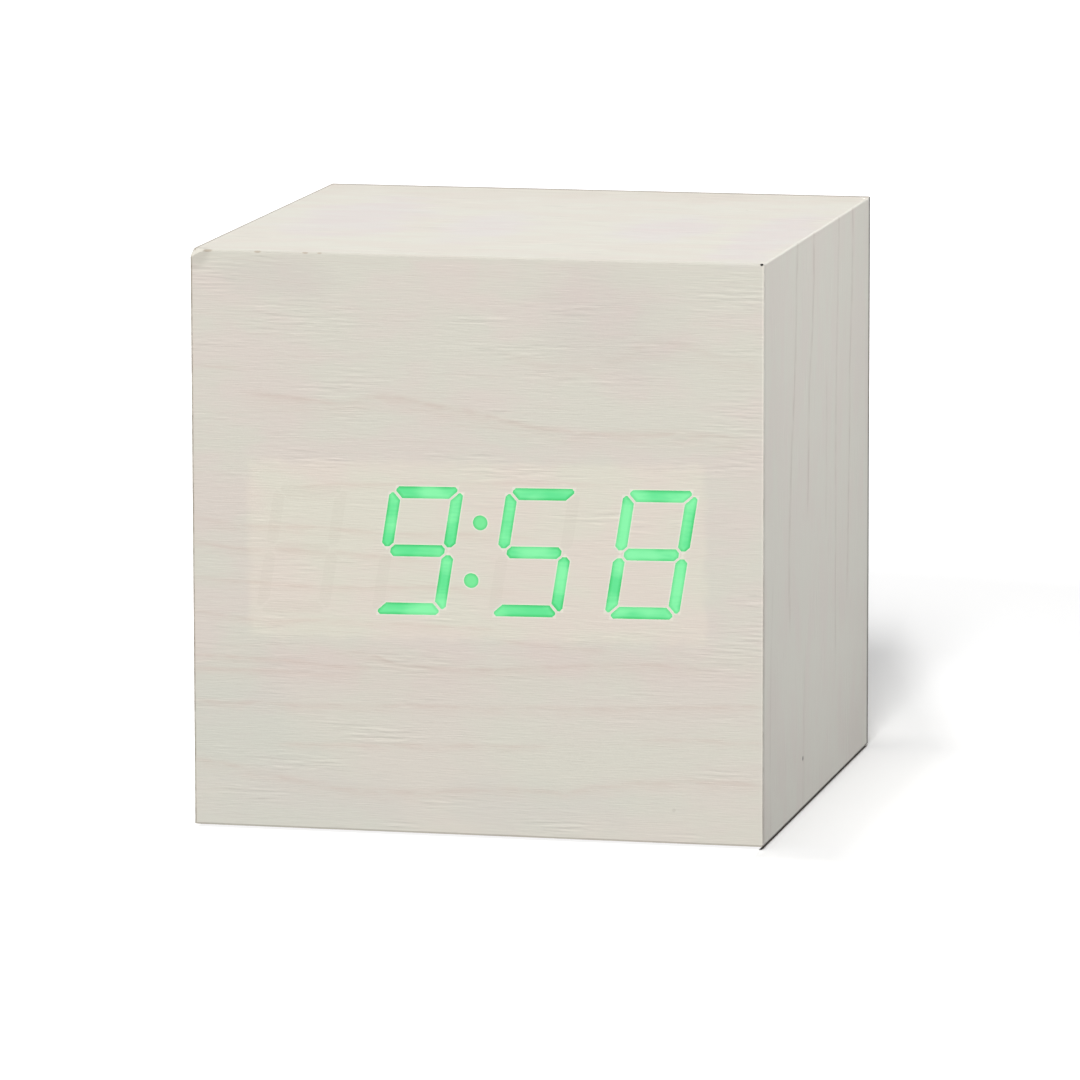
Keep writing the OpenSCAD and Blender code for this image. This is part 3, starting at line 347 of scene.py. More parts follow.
net, given, result = new_group("display_field", {"Point": "Vector"}, {"Lit": "Float", "Window": "Float"})
x, _, z = net.split(given["Point"])
rise = net.minus(z, DISPLAY_Z)
cos_turn, sin_turn = math.cos(DISPLAY_TURN), math.sin(DISPLAY_TURN)
u = net.plus(net.times(x, cos_turn), net.times(rise, sin_turn))
v = net.minus(net.times(rise, cos_turn), net.times(x, sin_turn))
upright = net.minus(u, net.times(v, LEAN))
count = net.scaled(upright, 1 / PITCH, 2.0)
digit = net.math("FLOOR", count)
across = net.times(net.minus(net.math("FRACT", count), 0.5), PITCH)
a, b = net.size(across), net.size(v)
a_minus_b = net.minus(a, b)
off_top = net.size(net.minus(b, line_h))
off_side = net.size(net.minus(a, line_w))
slant = 1 / math.sqrt(2)
top_bar = net.most(
    net.minus(off_top, half),
    net.minus(a, end_w + half - TOP_CLIP),
    net.scaled(a_minus_b, slant, (line_h - end_w) * slant),
)
side_bar = net.most(
    net.minus(off_side, half),
    net.minus(b, end_h + half - SIDE_CLIP),
    net.scaled(a_minus_b, -slant, (line_w - end_h) * slant),
    net.scaled(net.minus(off_side, b), slant, back_off * slant),
)
middle_bar = net.most(
    net.minus(b, half),
    net.scaled(net.plus(a, b), slant, -end_w * slant),
    net.minus(a, end_w - TIP),
)
on_left, under_middle = net.math("LESS_THAN", across, 0.0), net.math("LESS_THAN", v, 0.0)
low_left = net.times(on_left, under_middle)
high_right = net.times(net.minus(1.0, on_left), net.minus(1.0, under_middle))
nine_or_five = net.math("COMPARE", digit, 1.5, 0.6)
five = net.math("COMPARE", digit, 2.0, 0.1)
dark_side = net.most(net.times(low_left, nine_or_five), net.times(high_right, five))
lit_side = net.scaled(dark_side, FAR, side_bar)
dark_digit = net.minus(1.0, net.math("COMPARE", digit, 2.0, 1.1))
lit_bar = net.scaled(dark_digit, FAR, net.total("MINIMUM", [top_bar, lit_side, middle_bar]))
dot_u = net.minus(u, net.times(net.math("SIGN", v), COLON_V * LEAN))
colon = net.minus(net.vector("DISTANCE", net.join(dot_u, b, 0.0), (0, COLON_V, 0)), COLON_R)
net.feed(result["Lit"], net.math("MINIMUM", lit_bar, colon))
EASE = 0.7
ragged = net.scaled(net.noise(net.join(u, v, 0.0), 0.4), 1.6, -0.8)
half_u, half_v = (net.plus(ragged, net.size(way)) for way in (u, v))
side_share = net.ramp(half_u, WINDOW_W / 2 + EASE, WINDOW_W / 2 - EASE)
end_share = net.ramp(half_v, WINDOW_H / 2 + EASE, WINDOW_H / 2 - EASE)
net.feed(result["Window"], net.times(side_share, end_share))
display_field = net.tree
print("display field", len(net.tree.nodes), "nodes")

# %% [markdown]
# ## Veneer
# White-washed veneer shows its grain only faintly: slow patches of pink and grey-green, thin growth
# lines that come and go, and short pores pressed into the paint. An image could be wrapped round the
# cube, but noise stretched along the grain runs on over the edges by itself, as the real sheet does.
# One group serves the wrap, whose grain runs across, and the sides, whose grain stands upright.

# %% Grain of the veneer
LINE_PITCH, PORE_STEP = 2.9, 0.16
# how fast each noise changes along and across the grain, per millimetre
WANDER, PATCH, PORE, CLUSTER, FINE = (0.022, 0.05), (0.09, 0.17), (0.22, 3.0), (0.1, 0.3), (0.4, 8.0)
net, given, result = new_group(
    "veneer_grain",
    {"Point": "Vector", "Rough": "Float"},
    {"Tone": "Float", "Lines": "Float", "Streaks": "Float", "Height": "Float"},
)
x, y, z = net.split(given["Point"])


def stretched(scales, height):
    """The point with the grain's direction drawn out, for noise that forms long fibres."""
    along, across = scales
    return net.join(net.times(x, along), net.times(y, across), net.times(height, across))


wander = net.scaled(net.noise(stretched(WANDER, z), detail=1), 7.0, -3.5)
ring = net.plus(net.scaled(y, 0.7, z), wander)
patches = net.noise(stretched(PATCH, ring), detail=3, rough=0.55)
net.feed(result["Tone"], net.ramp(patches, 0.36, 0.64))
rings = net.node("TexVoronoi", {"W": net.math("DIVIDE", ring, LINE_PITCH)}, voronoi_dimensions="1D").outputs
off_line = net.times(rings["Distance"], LINE_PITCH)
red, green, _ = net.split(rings["Color"])
own_fade = net.noise(net.join(net.times(x, 0.09), net.times(red, 60.0), green), detail=1)
thin = net.ramp(off_line, 0.3, 0.0)
net.feed(result["Lines"], net.times(thin, net.ramp(own_fade, 0.48, 0.68)))
fibre = net.noise(stretched(PORE, z))
ridge = net.minus(fibre, net.noise(stretched(PORE, net.plus(z, PORE_STEP))))
pressed = net.minus(net.ramp(ridge, 0.03, 0.17), net.ramp(ridge, -0.03, -0.17))
clusters = net.ramp(net.noise(stretched(CLUSTER, z)), 0.5, 0.74)
share = net.scaled(net.most(clusters, given["Rough"]), 0.88, 0.12)
fine = net.minus(net.noise(stretched(FINE, z)), 0.5)
net.feed(result["Streaks"], net.scaled(fine, 0.4, net.times(pressed, share)))
net.feed(result["Height"], net.scaled(net.minus(fibre, 0.5), share, fine))
veneer_grain = net.tree
print("veneer grain", len(net.tree.nodes), "nodes")

# %% [markdown]
# The eye also picks out some growth lines at once. Each of these is drawn as a curve of height over width
# with a few points: a thin dark line with a soft band under it. Float Curve nodes hold them, so they cost
# nothing in the mesh and can be moved point by point.

# %% Growth lines drawn one by one
LEFT, RIGHT, FRONT, BACK, TOP = -34.0, 34.0, -34.0, 34.0, 68.4  # faces of the case in millimetres
FRONT_LINES = [
    # darkness, half width of the line, width of the band, points (x, z)
    (0.50, 0.42, 2.8, [(-29, 51.9), (-21, 51.2), (-16.8, 50.7), (-10.9, 51.7), (-4, 50.7),
                       (0, 50.1), (7, 48.7), (13, 48.2), (25, 48.4), (34, 47.5)]),
    (0.40, 0.31, 1.5, [(-36, 37.2), (-27, 36.1), (-19.5, 36.1), (-11.5, 35.8), (0, 35.9), (8, 35.6)]),
    (0.40, 0.31, 1.5, [(-36, 34.3), (-27.3, 33.3), (-19.5, 33.4), (-12, 33.0), (-4, 33.0)]),
    (0.42, 0.29, 1.2, [(-36, 29.9), (-27.3, 29.4), (-17.4, 29.1), (-5.3, 29.5), (6, 29.2)]),
    (0.36, 0.29, 1.2, [(-36, 26.3), (-27, 25.0), (-16, 25.2), (-11.7, 25.1), (4, 24.7)]),
    (0.30, 0.33, 1.2, [(-23, 40.4), (-16.6, 41.3), (-12, 41.4), (0, 41.9), (16, 42.2)]),
    (0.50, 0.29, 1.0, [(-36, 20.5), (-23.8, 20.3), (-19.4, 20.0), (-11, 19.8)]),
    (0.42, 0.29, 1.0, [(-36, 19.0), (-19.4, 18.9), (-12, 18.7)]),
    (0.50, 0.31, 1.5, [(-18, 21.3), (-12.5, 21.2), (-9.5, 20.3), (-6.6, 20.1), (0, 20.0),
                       (9, 20.6), (19, 21.3), (29, 20.9)]),
    (0.42, 0.34, 1.5, [(-36, 15.2), (-24, 15.0), (-12.8, 15.3), (1.7, 15.5), (14.5, 15.9), (36, 17.1)]),
    (0.40, 0.29, 1.2, [(-25, 10.3), (-16, 10.5), (0, 11.0), (10, 11.2)]),
    (0.42, 0.47, 1.9, [(-36, 8.4), (-26.5, 7.0), (-20.5, 5.8), (-11, 5.1), (1, 5.8), (11, 6.1),
                       (20, 7.4), (36, 7.6)]),
    (0.40, 0.26, 1.0, [(1, 23.6), (10.4, 23.0), (17, 22.6)]),
    (0.36, 0.29, 1.2, [(18, 12.4), (24.7, 12.6), (36, 12.4)]),
    (0.20, 0.78, 3.0, [(2, 58.0), (10, 55.6), (16.8, 56.8), (20.7, 58.6), (24.5, 58.6), (29.4, 57.0),
                       (36, 55.8)]),
    (0.45, 0.21, 0.6, [(-36, 54.5), (-30, 54.7), (-26, 54.6)]),
]
SIDE_LINES = [
    # the same, points (z, y)
    (0.26, 0.95, 1.6, [(22, -17.5), (31, -18.1), (38, -17.7), (45.5, -16.5), (54, -14.9), (60, -14.3),
                       (72, -13.5)]),
    (0.26, 0.95, 1.6, [(34, -6.8), (43, -6.2), (50, -6.0), (58, -3.9), (72, -3.2)]),
    (0.20, 0.80, 1.4, [(12, 11.7), (30, 11.4), (50, 11.5), (60, 12.4), (72, 13.0)]),
    (0.26, 0.85, 1.6, [(20, 19.2), (30, 19.8), (40, 20.4), (50, 20.5), (58, 21.6), (72, 22.1)]),
    (0.14, 0.80, 1.4, [(30, 5.2), (40, 5.3), (52, 5.3)]),
    (0.10, 1.40, 2.0, [(-2, -8.8), (8, -8.6), (20, -8.4)]),
    (0.12, 0.70, 1.2, [(-2, -29.0), (16, -29.4), (32, -28.0)]),
]
CURVE_SPAN, LINE_FADE = 72.0, 4.0


def height_of_line(net, along, points, low_along, low_height):
    """A Float Curve through the points, which run from low_along and low_height over one span."""
    share = net.scaled(along, 1 / CURVE_SPAN, -low_along / CURVE_SPAN)
    made = net.node("FloatCurve", {"Value": share})
    curve = made.mapping.curves[0]
    for index, (where, height) in enumerate(points):
        spot = ((where - low_along) / CURVE_SPAN, (height - low_height) / CURVE_SPAN)
        if index < 2:
            curve.points[index].location = spot
        else:
            curve.points.new(*spot)
    made.mapping.update()
    return net.scaled(made.outputs[0], CURVE_SPAN, low_height)


def drawn_lines(name, rows, along_axis, across_axis, low_along, low_height):
    """A group with the masks of the given growth lines: thin lines, and the bands under them."""
    net, given, result = new_group(name, {"Point": "Vector"}, {"Lines": "Float", "Bands": "Float"})
    axes = net.split(given["Point"])
    along, across = axes[along_axis], axes[across_axis]
    shake = net.noise(net.join(net.times(along, 0.15), net.times(across, 0.1), 0.0))
    across = net.plus(across, net.scaled(shake, 0.3, -0.15))
    broken = net.noise(net.join(net.times(along, 0.3), net.times(across, 1.2), 5.0))
    lines, bands = [], []
    for darkness, width, band, points in rows:
        off = net.minus(across, height_of_line(net, along, points, low_along, low_height))
        start, end = points[0][0], points[-1][0]
        ends = net.times(net.ramp(along, start, start + LINE_FADE), net.ramp(along, end, end - LINE_FADE))
        dark = net.times(ends, darkness)
        lines.append(net.times(dark, net.ramp(net.size(off), width, 0.0)))
        bands.append(net.times(dark, net.ramp(off, -band, 0.0), net.ramp(off, 2 * width, 0.0)))
    net.feed(result["Lines"], net.times(net.most(*lines), net.ramp(broken, 0.36, 0.6, 0.25, 1.0)))
    net.feed(result["Bands"], net.times(net.most(*bands), net.ramp(broken, 0.3, 0.7, 0.3, 1.0)))
    print(name, len(rows), "lines,", len(net.tree.nodes), "nodes")
    return net.tree


front_growth = drawn_lines("front_growth", FRONT_LINES, 0, 2, -36.0, 0.0)
side_growth = drawn_lines("side_growth", SIDE_LINES, 2, 1, -2.0, -36.0)

# %% [markdown]
# ## Finishes
# Each finish is a material kept under the name of its slot in the CAD model. A finish starts from the
# point on the clock in millimetres, and ends with a colour, a roughness and sometimes small bumps.

# %% Helpers for the finishes
finish = {}


def paint(red, green, blue):
    """A colour given in the 0 to 255 steps of a paint chart, made linear."""
    steps = [c / 255 for c in (red, green, blue)]
    return tuple(c / 12.92 if c <= 0.04045 else ((c + 0.055) / 1.055) ** 2.4 for c in steps) + (1,)


def new_material(name, **plain):
    """A new finish with plain values for some sockets: its net, its shader's sockets and the point."""
    material = bpy.data.materials.new(name)
    material.use_nodes = True
    finish[name] = material
    net = Net(material.node_tree)
    shader = net.tree.nodes["Principled BSDF"].inputs
    for label, value in plain.items():
        shader[label.replace("_", " ").title().replace("Ior", "IOR")].default_value = value
    point = net.vector("MULTIPLY", net.node("TexCoord").outputs["Object"], (1 / MM,) * 3)
    return net, shader, point


def coat(net, shader, colour, rough, height=None, strength=0.0, depth=0.0):
    """Feeds a shader its colour, its roughness and bumps with a real depth in millimetres."""
    net.feed(shader["Base Color"], colour)
    net.feed(shader["Roughness"], rough)
    if height is not None:
        bumps = net.node("Bump", {"Height": height, "Strength": strength, "Distance": depth * MM})
        net.feed(shader["Normal"], bumps.outputs[0])


print("white paint is", [round(c, 3) for c in paint(244, 239, 226)])

# %% [markdown]
# ## Paint on the veneer
# The paint is thinnest on the pores and along the edges, where the sheets meet in a dark seam, and it is
# rubbed at one corner. Painted shade darkens the front's left edge, its rounded top edge, the foot and the
# rubbed corner's facet. Behind the window the wood is only as thick as paper, and the digits' light that
# shines through it is painted in: the window is warmer and brighter, and the veneer paler round each lit
# segment.

# %% Finish of the wrap
PINK, SAGE, ROSE = paint(225, 216, 207), paint(222, 219, 207), paint(197, 178, 167)
# the seam colour also serves painted shade, on the front's left edge and along the foot
BAND, SEAM_AND_SHADE, PALE = paint(220, 203, 193), paint(120, 106, 92), paint(244, 239, 226)
GHOST, MARK, INK_AND_SHADE = paint(205, 198, 184), paint(158, 136, 114), paint(40, 36, 32)
CHIP = paint(16, 13, 11)
# these multiply the colour under them: a painted glow, and painted shade on an edge and a corner
GLOWING, EDGE_SHADE, CORNER_SHADE = (1.065, 1.058, 1.036, 1), (0.83, 0.83, 0.83, 1), (0.88, 0.875, 0.87, 1)
LINE_SHARE, BAND_SHARE, GHOST_SHARE, MARK_SHARE, SPECK_SHARE = 0.36, 0.75, 0.12, 0.5, 0.14
FLATTEN = 0.5  # an edge mark is half as high as it is wide
SPECKS = [(23.5, FRONT, 4.3), (22.0, 16.6, TOP)]
ROUGH_SPOTS = [
    # middle (x, z) and half sizes of the spots where the pores show most
    (-31, 65.5, 5, 2.6), (-21, 60.5, 9, 3.0), (30, 64.5, 6, 3.4), (31, 49.5, 5, 4.5),
    (30, 22.5, 6, 4.0), (-8, 20.5, 7, 2.0), (21, 58.5, 5, 1.4), (5, 43.0, 9, 1.4),
]
TONES = [
    # a tone that multiplies the colour, whether it lies on the top, and its spots, with y for z there
    ((0.970, 0.952, 0.968, 1), False, [(16, 61, 11, 7), (-24, 65.5, 8, 3)]),
    ((1.000, 0.975, 0.980, 1), False, [(-12, 19.6, 26, 3.4), (18, 21, 20, 3)]),
    ((0.962, 0.982, 0.990, 1), False, [(-29, 11, 11, 10), (-20, 3, 18, 5), (8, 4, 14, 4)]),
    ((0.990, 0.966, 1.030, 1), True, [(-22, 0, 9, 22), (-5, -6, 6, 16), (16.5, -4, 7, 14),
                                      (30, -10, 5, 30)]),
    ((0.972, 0.948, 0.940, 1), True, [(0, 36, 60, 14)]),
]
EDGE_MARKS = [(-31.9, 0.2), (-25.9, 0.16), (-20.2, 0.14), (-18.5, 0.12)]  # x and half height of dents


def veneer_colour(net, grain, pink, sage, calm):
    """Paint over wood: patches, growth lines and pores. Calm is 1 where the patches show in full."""
    colour = net.mix(net.times(grain["Tone"], calm), sage, pink)
    colour = net.mix(net.times(grain["Lines"], calm, 0.2), colour, ROSE)
    light = net.scaled(grain["Streaks"], 0.1, 1.0)
    return net.mix(1.0, colour, net.join(light, light, light), "MULTIPLY")


def near(net, point, spot, inner, outer):
    """One up to the inner distance from a spot, nothing past the outer one."""
    return net.ramp(net.vector("DISTANCE", point, spot), outer, inner)


def soft_spots(net, aside, above, rows, ragged=0.0):
    """One in the middle of each spot, fading out past its half sizes."""
    masks = []
    for mid_a, mid_b, half_a, half_b in rows:
        a = net.scaled(aside, 1 / half_a, -mid_a / half_a)
        b = net.scaled(above, 1 / half_b, -mid_b / half_b)
        off = net.plus(net.vector("DISTANCE", net.join(a, b, 0.0), (0, 0, 0)), ragged)
        masks.append(net.ramp(off, 1.2, 0.4))
    return net.most(*masks)


def wrap_finish(name, ghost):
    """The wrap's veneer; a ghost is a spot of it over a dark segment."""
    net, shader, point = new_material(name, specular_ior_level=0.3)
    x, y, z = net.split(point)
    on_front = net.ramp(y, -30.0, -33.0)
    on_top = net.ramp(z, TOP - 1.2, TOP - 0.2)
    rough_front = net.times(soft_spots(net, x, z, ROUGH_SPOTS), on_front, 0.7)
    grain = net.group(veneer_grain, point, Rough=rough_front)
    calm = net.times(net.scaled(on_top, -0.55, 1.0), net.ramp(z, 12.0, 24.0, 0.6, 1.0))
    colour = veneer_colour(net, grain, PINK, SAGE, calm)
    ragged = net.scaled(net.noise(point, 0.16), 1.2, -0.6)
    for tone, lies_on_top, rows in TONES:
        where = soft_spots(net, x, y if lies_on_top else z, rows, ragged)
        colour = net.mix(net.times(where, on_top if lies_on_top else on_front), colour, tone, "MULTIPLY")
    growth = net.group(front_growth, point)
    colour = net.mix(net.times(growth["Bands"], on_front, BAND_SHARE), colour, BAND)
    colour = net.mix(net.times(growth["Lines"], on_front, LINE_SHARE), colour, ROSE)
    field = net.group(display_field, point)
    # painted light: the window is painted warmer and brighter where the digits' light shines through
    colour = net.mix(net.times(field["Window"], on_front), colour, GLOWING, "MULTIPLY")
    if ghost:
        colour = net.mix(GHOST_SHARE, colour, GHOST)
    else:
        # painted light: the veneer is painted paler round each lit segment, as its glow spreads
        halo = net.ramp(field["Lit"], 0.02, 0.24, 0.75, 0.0)
        colour = net.mix(net.times(halo, on_front), colour, PALE)
        flaw = net.noise(point, (0.9, 0.9, 0.6), detail=3, rough=0.6)
        # painted shade: a dark line down the front's left edge, where its rounding turns from the light
        left_edge_shade = net.times(net.ramp(x, LEFT + 0.34, LEFT + 0.1), net.ramp(flaw, 0.3, 0.65, 0.35, 0.8))
        left_rim = net.ramp(x, LEFT + 0.6, LEFT + 0.3, 0.0, 0.6)
        back_rim = net.ramp(y, BACK - 1.6, BACK - 0.7, 0.0, 0.7)
        top_rim = net.times(net.most(left_rim, back_rim), net.ramp(z, TOP - 0.3, TOP - 0.15))
        # painted shade: a dark line along the foot, where the clock meets the floor
        foot = net.ramp(z, 0.66, 0.5, 0.0, 0.45)
        colour = net.mix(net.most(left_edge_shade, top_rim, foot), colour, SEAM_AND_SHADE)
        # painted shade on the rounded front top edge, which dims the highlight the key lamp puts there
        ridge = net.times(net.ramp(z, TOP - 0.28, TOP - 0.1), net.ramp(y, FRONT + 0.28, FRONT + 0.1))
        colour = net.mix(ridge, colour, EDGE_SHADE, "MULTIPLY")
        flat = net.vector("MULTIPLY", point, (FLATTEN, 1, 1))
        marks = [near(net, flat, (FLATTEN * where, FRONT, TOP), size, 1.8 * size)
                 for where, size in EDGE_MARKS]
        colour = net.mix(net.times(net.most(*marks), MARK_SHARE), colour, MARK)
        # painted shade on the rubbed corner's facet, which dims its highlight
        corner_shade = near(net, point, (LEFT, FRONT, TOP), 1.8, 2.8)
        colour = net.mix(corner_shade, colour, CORNER_SHADE, "MULTIPLY")
        specks = [near(net, point, spot, 0.12, 0.3) for spot in SPECKS]
        colour = net.mix(net.times(net.most(*specks), SPECK_SHARE), colour, SEAM_AND_SHADE)
        chip = near(net, point, (RIGHT - 0.28, FRONT + 0.07, TOP - 0.07), 0.14, 0.24)
        colour = net.mix(chip, colour, CHIP)
    coat(net, shader, colour, net.scaled(grain["Tone"], 0.1, 0.44), grain["Height"], 0.4, 0.06)


wrap_finish("wrap_veneer", ghost=False)
wrap_finish("unlit_segment", ghost=True)
print("wrap", [len(material.node_tree.nodes) for material in finish.values()], "nodes")

# %% Finish of the sides
SIDE_GRAIN, LOW_SHADE = paint(150, 140, 128), (0.94, 0.94, 0.94, 1)
net, shader, point = new_material("side_veneer", specular_ior_level=0.3)
x, y, z = net.split(point)
grain = net.group(veneer_grain, net.join(z, x, y), Rough=0.0)
colour = veneer_colour(net, grain, paint(222, 217, 209), paint(220, 218, 208), 1.0)
growth = net.group(side_growth, point)
colour = net.mix(net.times(growth["Bands"], 0.5), colour, BAND)
colour = net.mix(growth["Lines"], colour, SIDE_GRAIN)
colour = net.mix(net.ramp(z, 18.0, 1.0), colour, LOW_SHADE, "MULTIPLY")
flaw = net.noise(point, (0.9, 0.9, 0.35), detail=3, rough=0.6)
on_right = net.math("GREATER_THAN", x, 0.0)
front_seam = net.times(net.ramp(y, FRONT + 1.4, FRONT + 0.3), net.ramp(z, 62.0, 25.0, 0.3, 0.6))
left_top_seam = net.times(net.ramp(z, TOP - 0.5, TOP - 0.2), net.minus(1.0, on_right))
seams = net.most(front_seam, left_top_seam, net.ramp(y, BACK - 0.5, BACK - 0.2))
colour = net.mix(net.times(seams, net.ramp(flaw, 0.3, 0.65, 0.3, 0.75)), colour, SEAM_AND_SHADE)
back_seam = net.times(on_right, net.ramp(y, BACK - 1.6, BACK - 0.6, 0.0, 0.85))
# painted shade: a near-black line along the side's foot, where it meets the floor; the same near-black marks
# the back seam and a speck
foot_shade_line = net.ramp(z, 0.62, 0.48, 0.0, 0.8)
speck = near(net, point, (RIGHT, -9.2, 6.3), 0.15, 0.4)
colour = net.mix(net.most(back_seam, foot_shade_line, speck), colour, INK_AND_SHADE)
coat(net, shader, colour, net.scaled(grain["Tone"], 0.1, 0.44), grain["Height"], 0.35, 0.06)
print("side", len(net.tree.nodes), "nodes")

# %% [markdown]
# ## Lit segments
# A light behind thin veneer makes a bright green bar: paler along its middle, uneven where the wood
# is denser, and darker towards its rim. The colour is given out as light, and little is reflected.

# %% Green light
net, shader, point = new_material(
    "lit_segment", base_color=(0.01, 0.04, 0.02, 1), specular_ior_level=0.1, emission_strength=1.0
)
field = net.group(display_field, point)
uneven = net.noise(point, (0.2, 1.0, 0.24), detail=1)
fibres = net.noise(point, (0.5, 1.0, 2.6), detail=1)
rim = net.times(net.ramp(field["Lit"], -0.45, -0.02), net.ramp(uneven, 0.36, 0.62, 0.85, 0.35))
shine = net.scaled(net.minus(fibres, 0.5), 0.22, uneven)
core = net.mix(net.ramp(shine, 0.34, 0.66), paint(100, 226, 146), paint(138, 243, 170))
dots = [near(net, point, (side * COLON_V * LEAN, FRONT, DISPLAY_Z + side * COLON_V), 1.2, 1.4)
        for side in (-1, 1)]
core = net.mix(net.most(*dots), core, paint(122, 230, 152))
net.feed(shader["Emission Color"], net.mix(rim, core, paint(66, 200, 112)))
print("lit segment", len(net.tree.nodes), "nodes")

# %% [markdown]
# ## Boards of the case
# The panels are fibreboard, which shows brown specks of fibre on every cut edge, and the cleats inside
# are pine, with straight soft stripes. Both are noise: fine and even for the one, drawn out for the other.

# %% Fibreboard and pine
net, shader, point = new_material("fibreboard", specular_ior_level=0.2)
specks = net.noise(point, 2.4, detail=4, rough=0.7)
cloud = net.noise(point, 0.2)
colour = net.mix(net.ramp(specks, 0.35, 0.65), paint(128, 100, 72), paint(178, 148, 112))
colour = net.mix(net.ramp(cloud, 0.3, 0.7, 0.0, 0.35), colour, paint(150, 122, 92))
coat(net, shader, colour, net.ramp(specks, 0.3, 0.7, 0.95, 0.75), specks, 0.6, 0.12)

net, shader, point = new_material("pine", specular_ior_level=0.25)
stripes = net.noise(point, (1.1, 0.05, 1.1), detail=3, rough=0.55)
colour = net.mix(net.ramp(stripes, 0.38, 0.62), paint(226, 196, 146), paint(198, 156, 100))
coat(net, shader, colour, net.ramp(stripes, 0.3, 0.7, 0.6, 0.8), stripes, 0.4, 0.08)
print("boards", ["fibreboard", "pine"])

# %% [markdown]
# ## Moulded pieces
# Plastic and rubber come out of a mould with a fine sparked skin, slightly cloudy and a little
# shinier where hands rub it. One group makes that skin, and each plastic gives it its own grain.

# %% Skin of moulded pieces
net, given, result = new_group(
    "moulded_skin", {"Point": "Vector", "Grain": "Float"}, {"Cloud": "Float", "Height": "Float"}
)
net.feed(result["Height"], net.noise(given["Point"], given["Grain"], rough=0.6))
net.feed(result["Cloud"], net.ramp(net.noise(given["Point"], 0.16, detail=3), 0.34, 0.66))
moulded_skin = net.tree


def moulded(name, dark, light, rough, grain, depth):
    """A plastic or rubber between two colours, with its skin's grain per millimetre and depth."""
    net, shader, point = new_material(name, specular_ior_level=0.4)
    skin = net.group(moulded_skin, point, Grain=grain)
    colour = net.mix(skin["Cloud"], paint(*dark), paint(*light))
    coat(net, shader, colour, net.scaled(skin["Cloud"], 0.12, rough - 0.06), skin["Height"], 0.5, depth)
    return net, shader, point, colour


moulded("black_plastic", (38, 38, 40), (48, 48, 50), 0.52, 5.0, 0.03)
moulded("white_plastic", (232, 231, 225), (240, 240, 235), 0.42, 4.0, 0.02)
moulded("rubber", (46, 46, 46), (60, 59, 57), 0.85, 3.0, 0.06)
moulded("lead_red", (166, 30, 26), (188, 42, 34), 0.4, 6.0, 0.01)
moulded("lead_black", (28, 28, 29), (38, 38, 38), 0.4, 6.0, 0.01)
moulded("film", (238, 236, 228), (246, 245, 238), 0.6, 7.0, 0.01)
print("moulded", [name for name in finish if "plastic" in name or "lead" in name])

# %% [markdown]
# The buttons are black with a sunk sign that is filled with white paint, the capacitor's sleeve has a
# pale stripe down one side, and the ribbon has one red wire. The clock's own layout says where.

# %% Signs, stripes and marks
BUTTON_PITCH, BUTTON_Z, SIGN_Y = 13.0, 44.3, 33.55
net, shader, point, colour = moulded("button_plastic", (30, 30, 32), (40, 40, 42), 0.44, 6.0, 0.02)
x, y, z = net.split(point)
own_mid = net.times(net.math("ROUND", net.math("DIVIDE", x, BUTTON_PITCH)), BUTTON_PITCH)
from_axis = net.vector("DISTANCE", net.join(net.minus(x, own_mid), z, 0.0), (0, BUTTON_Z, 0))
sign = net.times(net.ramp(from_axis, 1.5, 1.4), net.ramp(y, SIGN_Y + 0.05, SIGN_Y - 0.05))
net.feed(shader["Base Color"], net.mix(sign, colour, paint(226, 225, 220)))

STRIPE_X, STRIPE_Z = 11.5, 25.2
net, shader, point, colour = moulded("sleeve", (24, 30, 48), (32, 38, 58), 0.35, 6.0, 0.01)
x, _, z = net.split(point)
stripe = net.times(net.ramp(z, STRIPE_Z, STRIPE_Z + 0.1), net.ramp(x, STRIPE_X, STRIPE_X + 0.1))
net.feed(shader["Base Color"], net.mix(stripe, colour, paint(196, 200, 206)))

RED_WIRE_X = -5.05
net, shader, point, colour = moulded("ribbon", (156, 158, 162), (172, 174, 178), 0.5, 5.0, 0.01)
red_wire = net.ramp(net.split(point)[0], RED_WIRE_X, RED_WIRE_X - 0.05)
net.feed(shader["Base Color"], net.mix(red_wire, colour, paint(176, 44, 40)))
print("marked", ["button_plastic", "sleeve", "ribbon"])

# %% [markdown]
# ## Metal
# Screws, springs and contacts are drawn, pressed or turned, so fine scratches run one way and break the
# gloss up. One group makes the scratches, and each metal has its own colour.

# %% Steel, cans and brass
net, given, result = new_group("drawn_metal", {"Point": "Vector"}, {"Scratch": "Float", "Tarnish": "Float"})
net.feed(result["Scratch"], net.noise(given["Point"], (9.0, 9.0, 0.8), detail=3))
net.feed(result["Tarnish"], net.ramp(net.noise(given["Point"], 0.7, detail=3), 0.35, 0.65))
drawn_metal = net.tree


def metal(name, dull, bright, rough):
    """A bare metal between its dull and its bright colour."""
    net, shader, point = new_material(name, metallic=1.0)
    wear = net.group(drawn_metal, point)
    colour = net.mix(wear["Tarnish"], paint(*dull), paint(*bright))
    coat(net, shader, colour, net.scaled(wear["Scratch"], 0.24, rough - 0.12), wear["Scratch"], 0.25, 0.01)


metal("steel", (150, 151, 154), (186, 187, 190), 0.36)
metal("can", (176, 176, 174), (206, 206, 203), 0.3)
metal("brass", (168, 134, 70), (206, 172, 98), 0.34)
print("metals", ["steel", "can", "brass"])

# %% [markdown]
# ## Boards, light guides and cells
# The circuit boards wear green lacquer over copper tracks, the light guides are clear resin, and each
# cell has a printed jacket that ends short of its steel caps. The jacket here is plain.

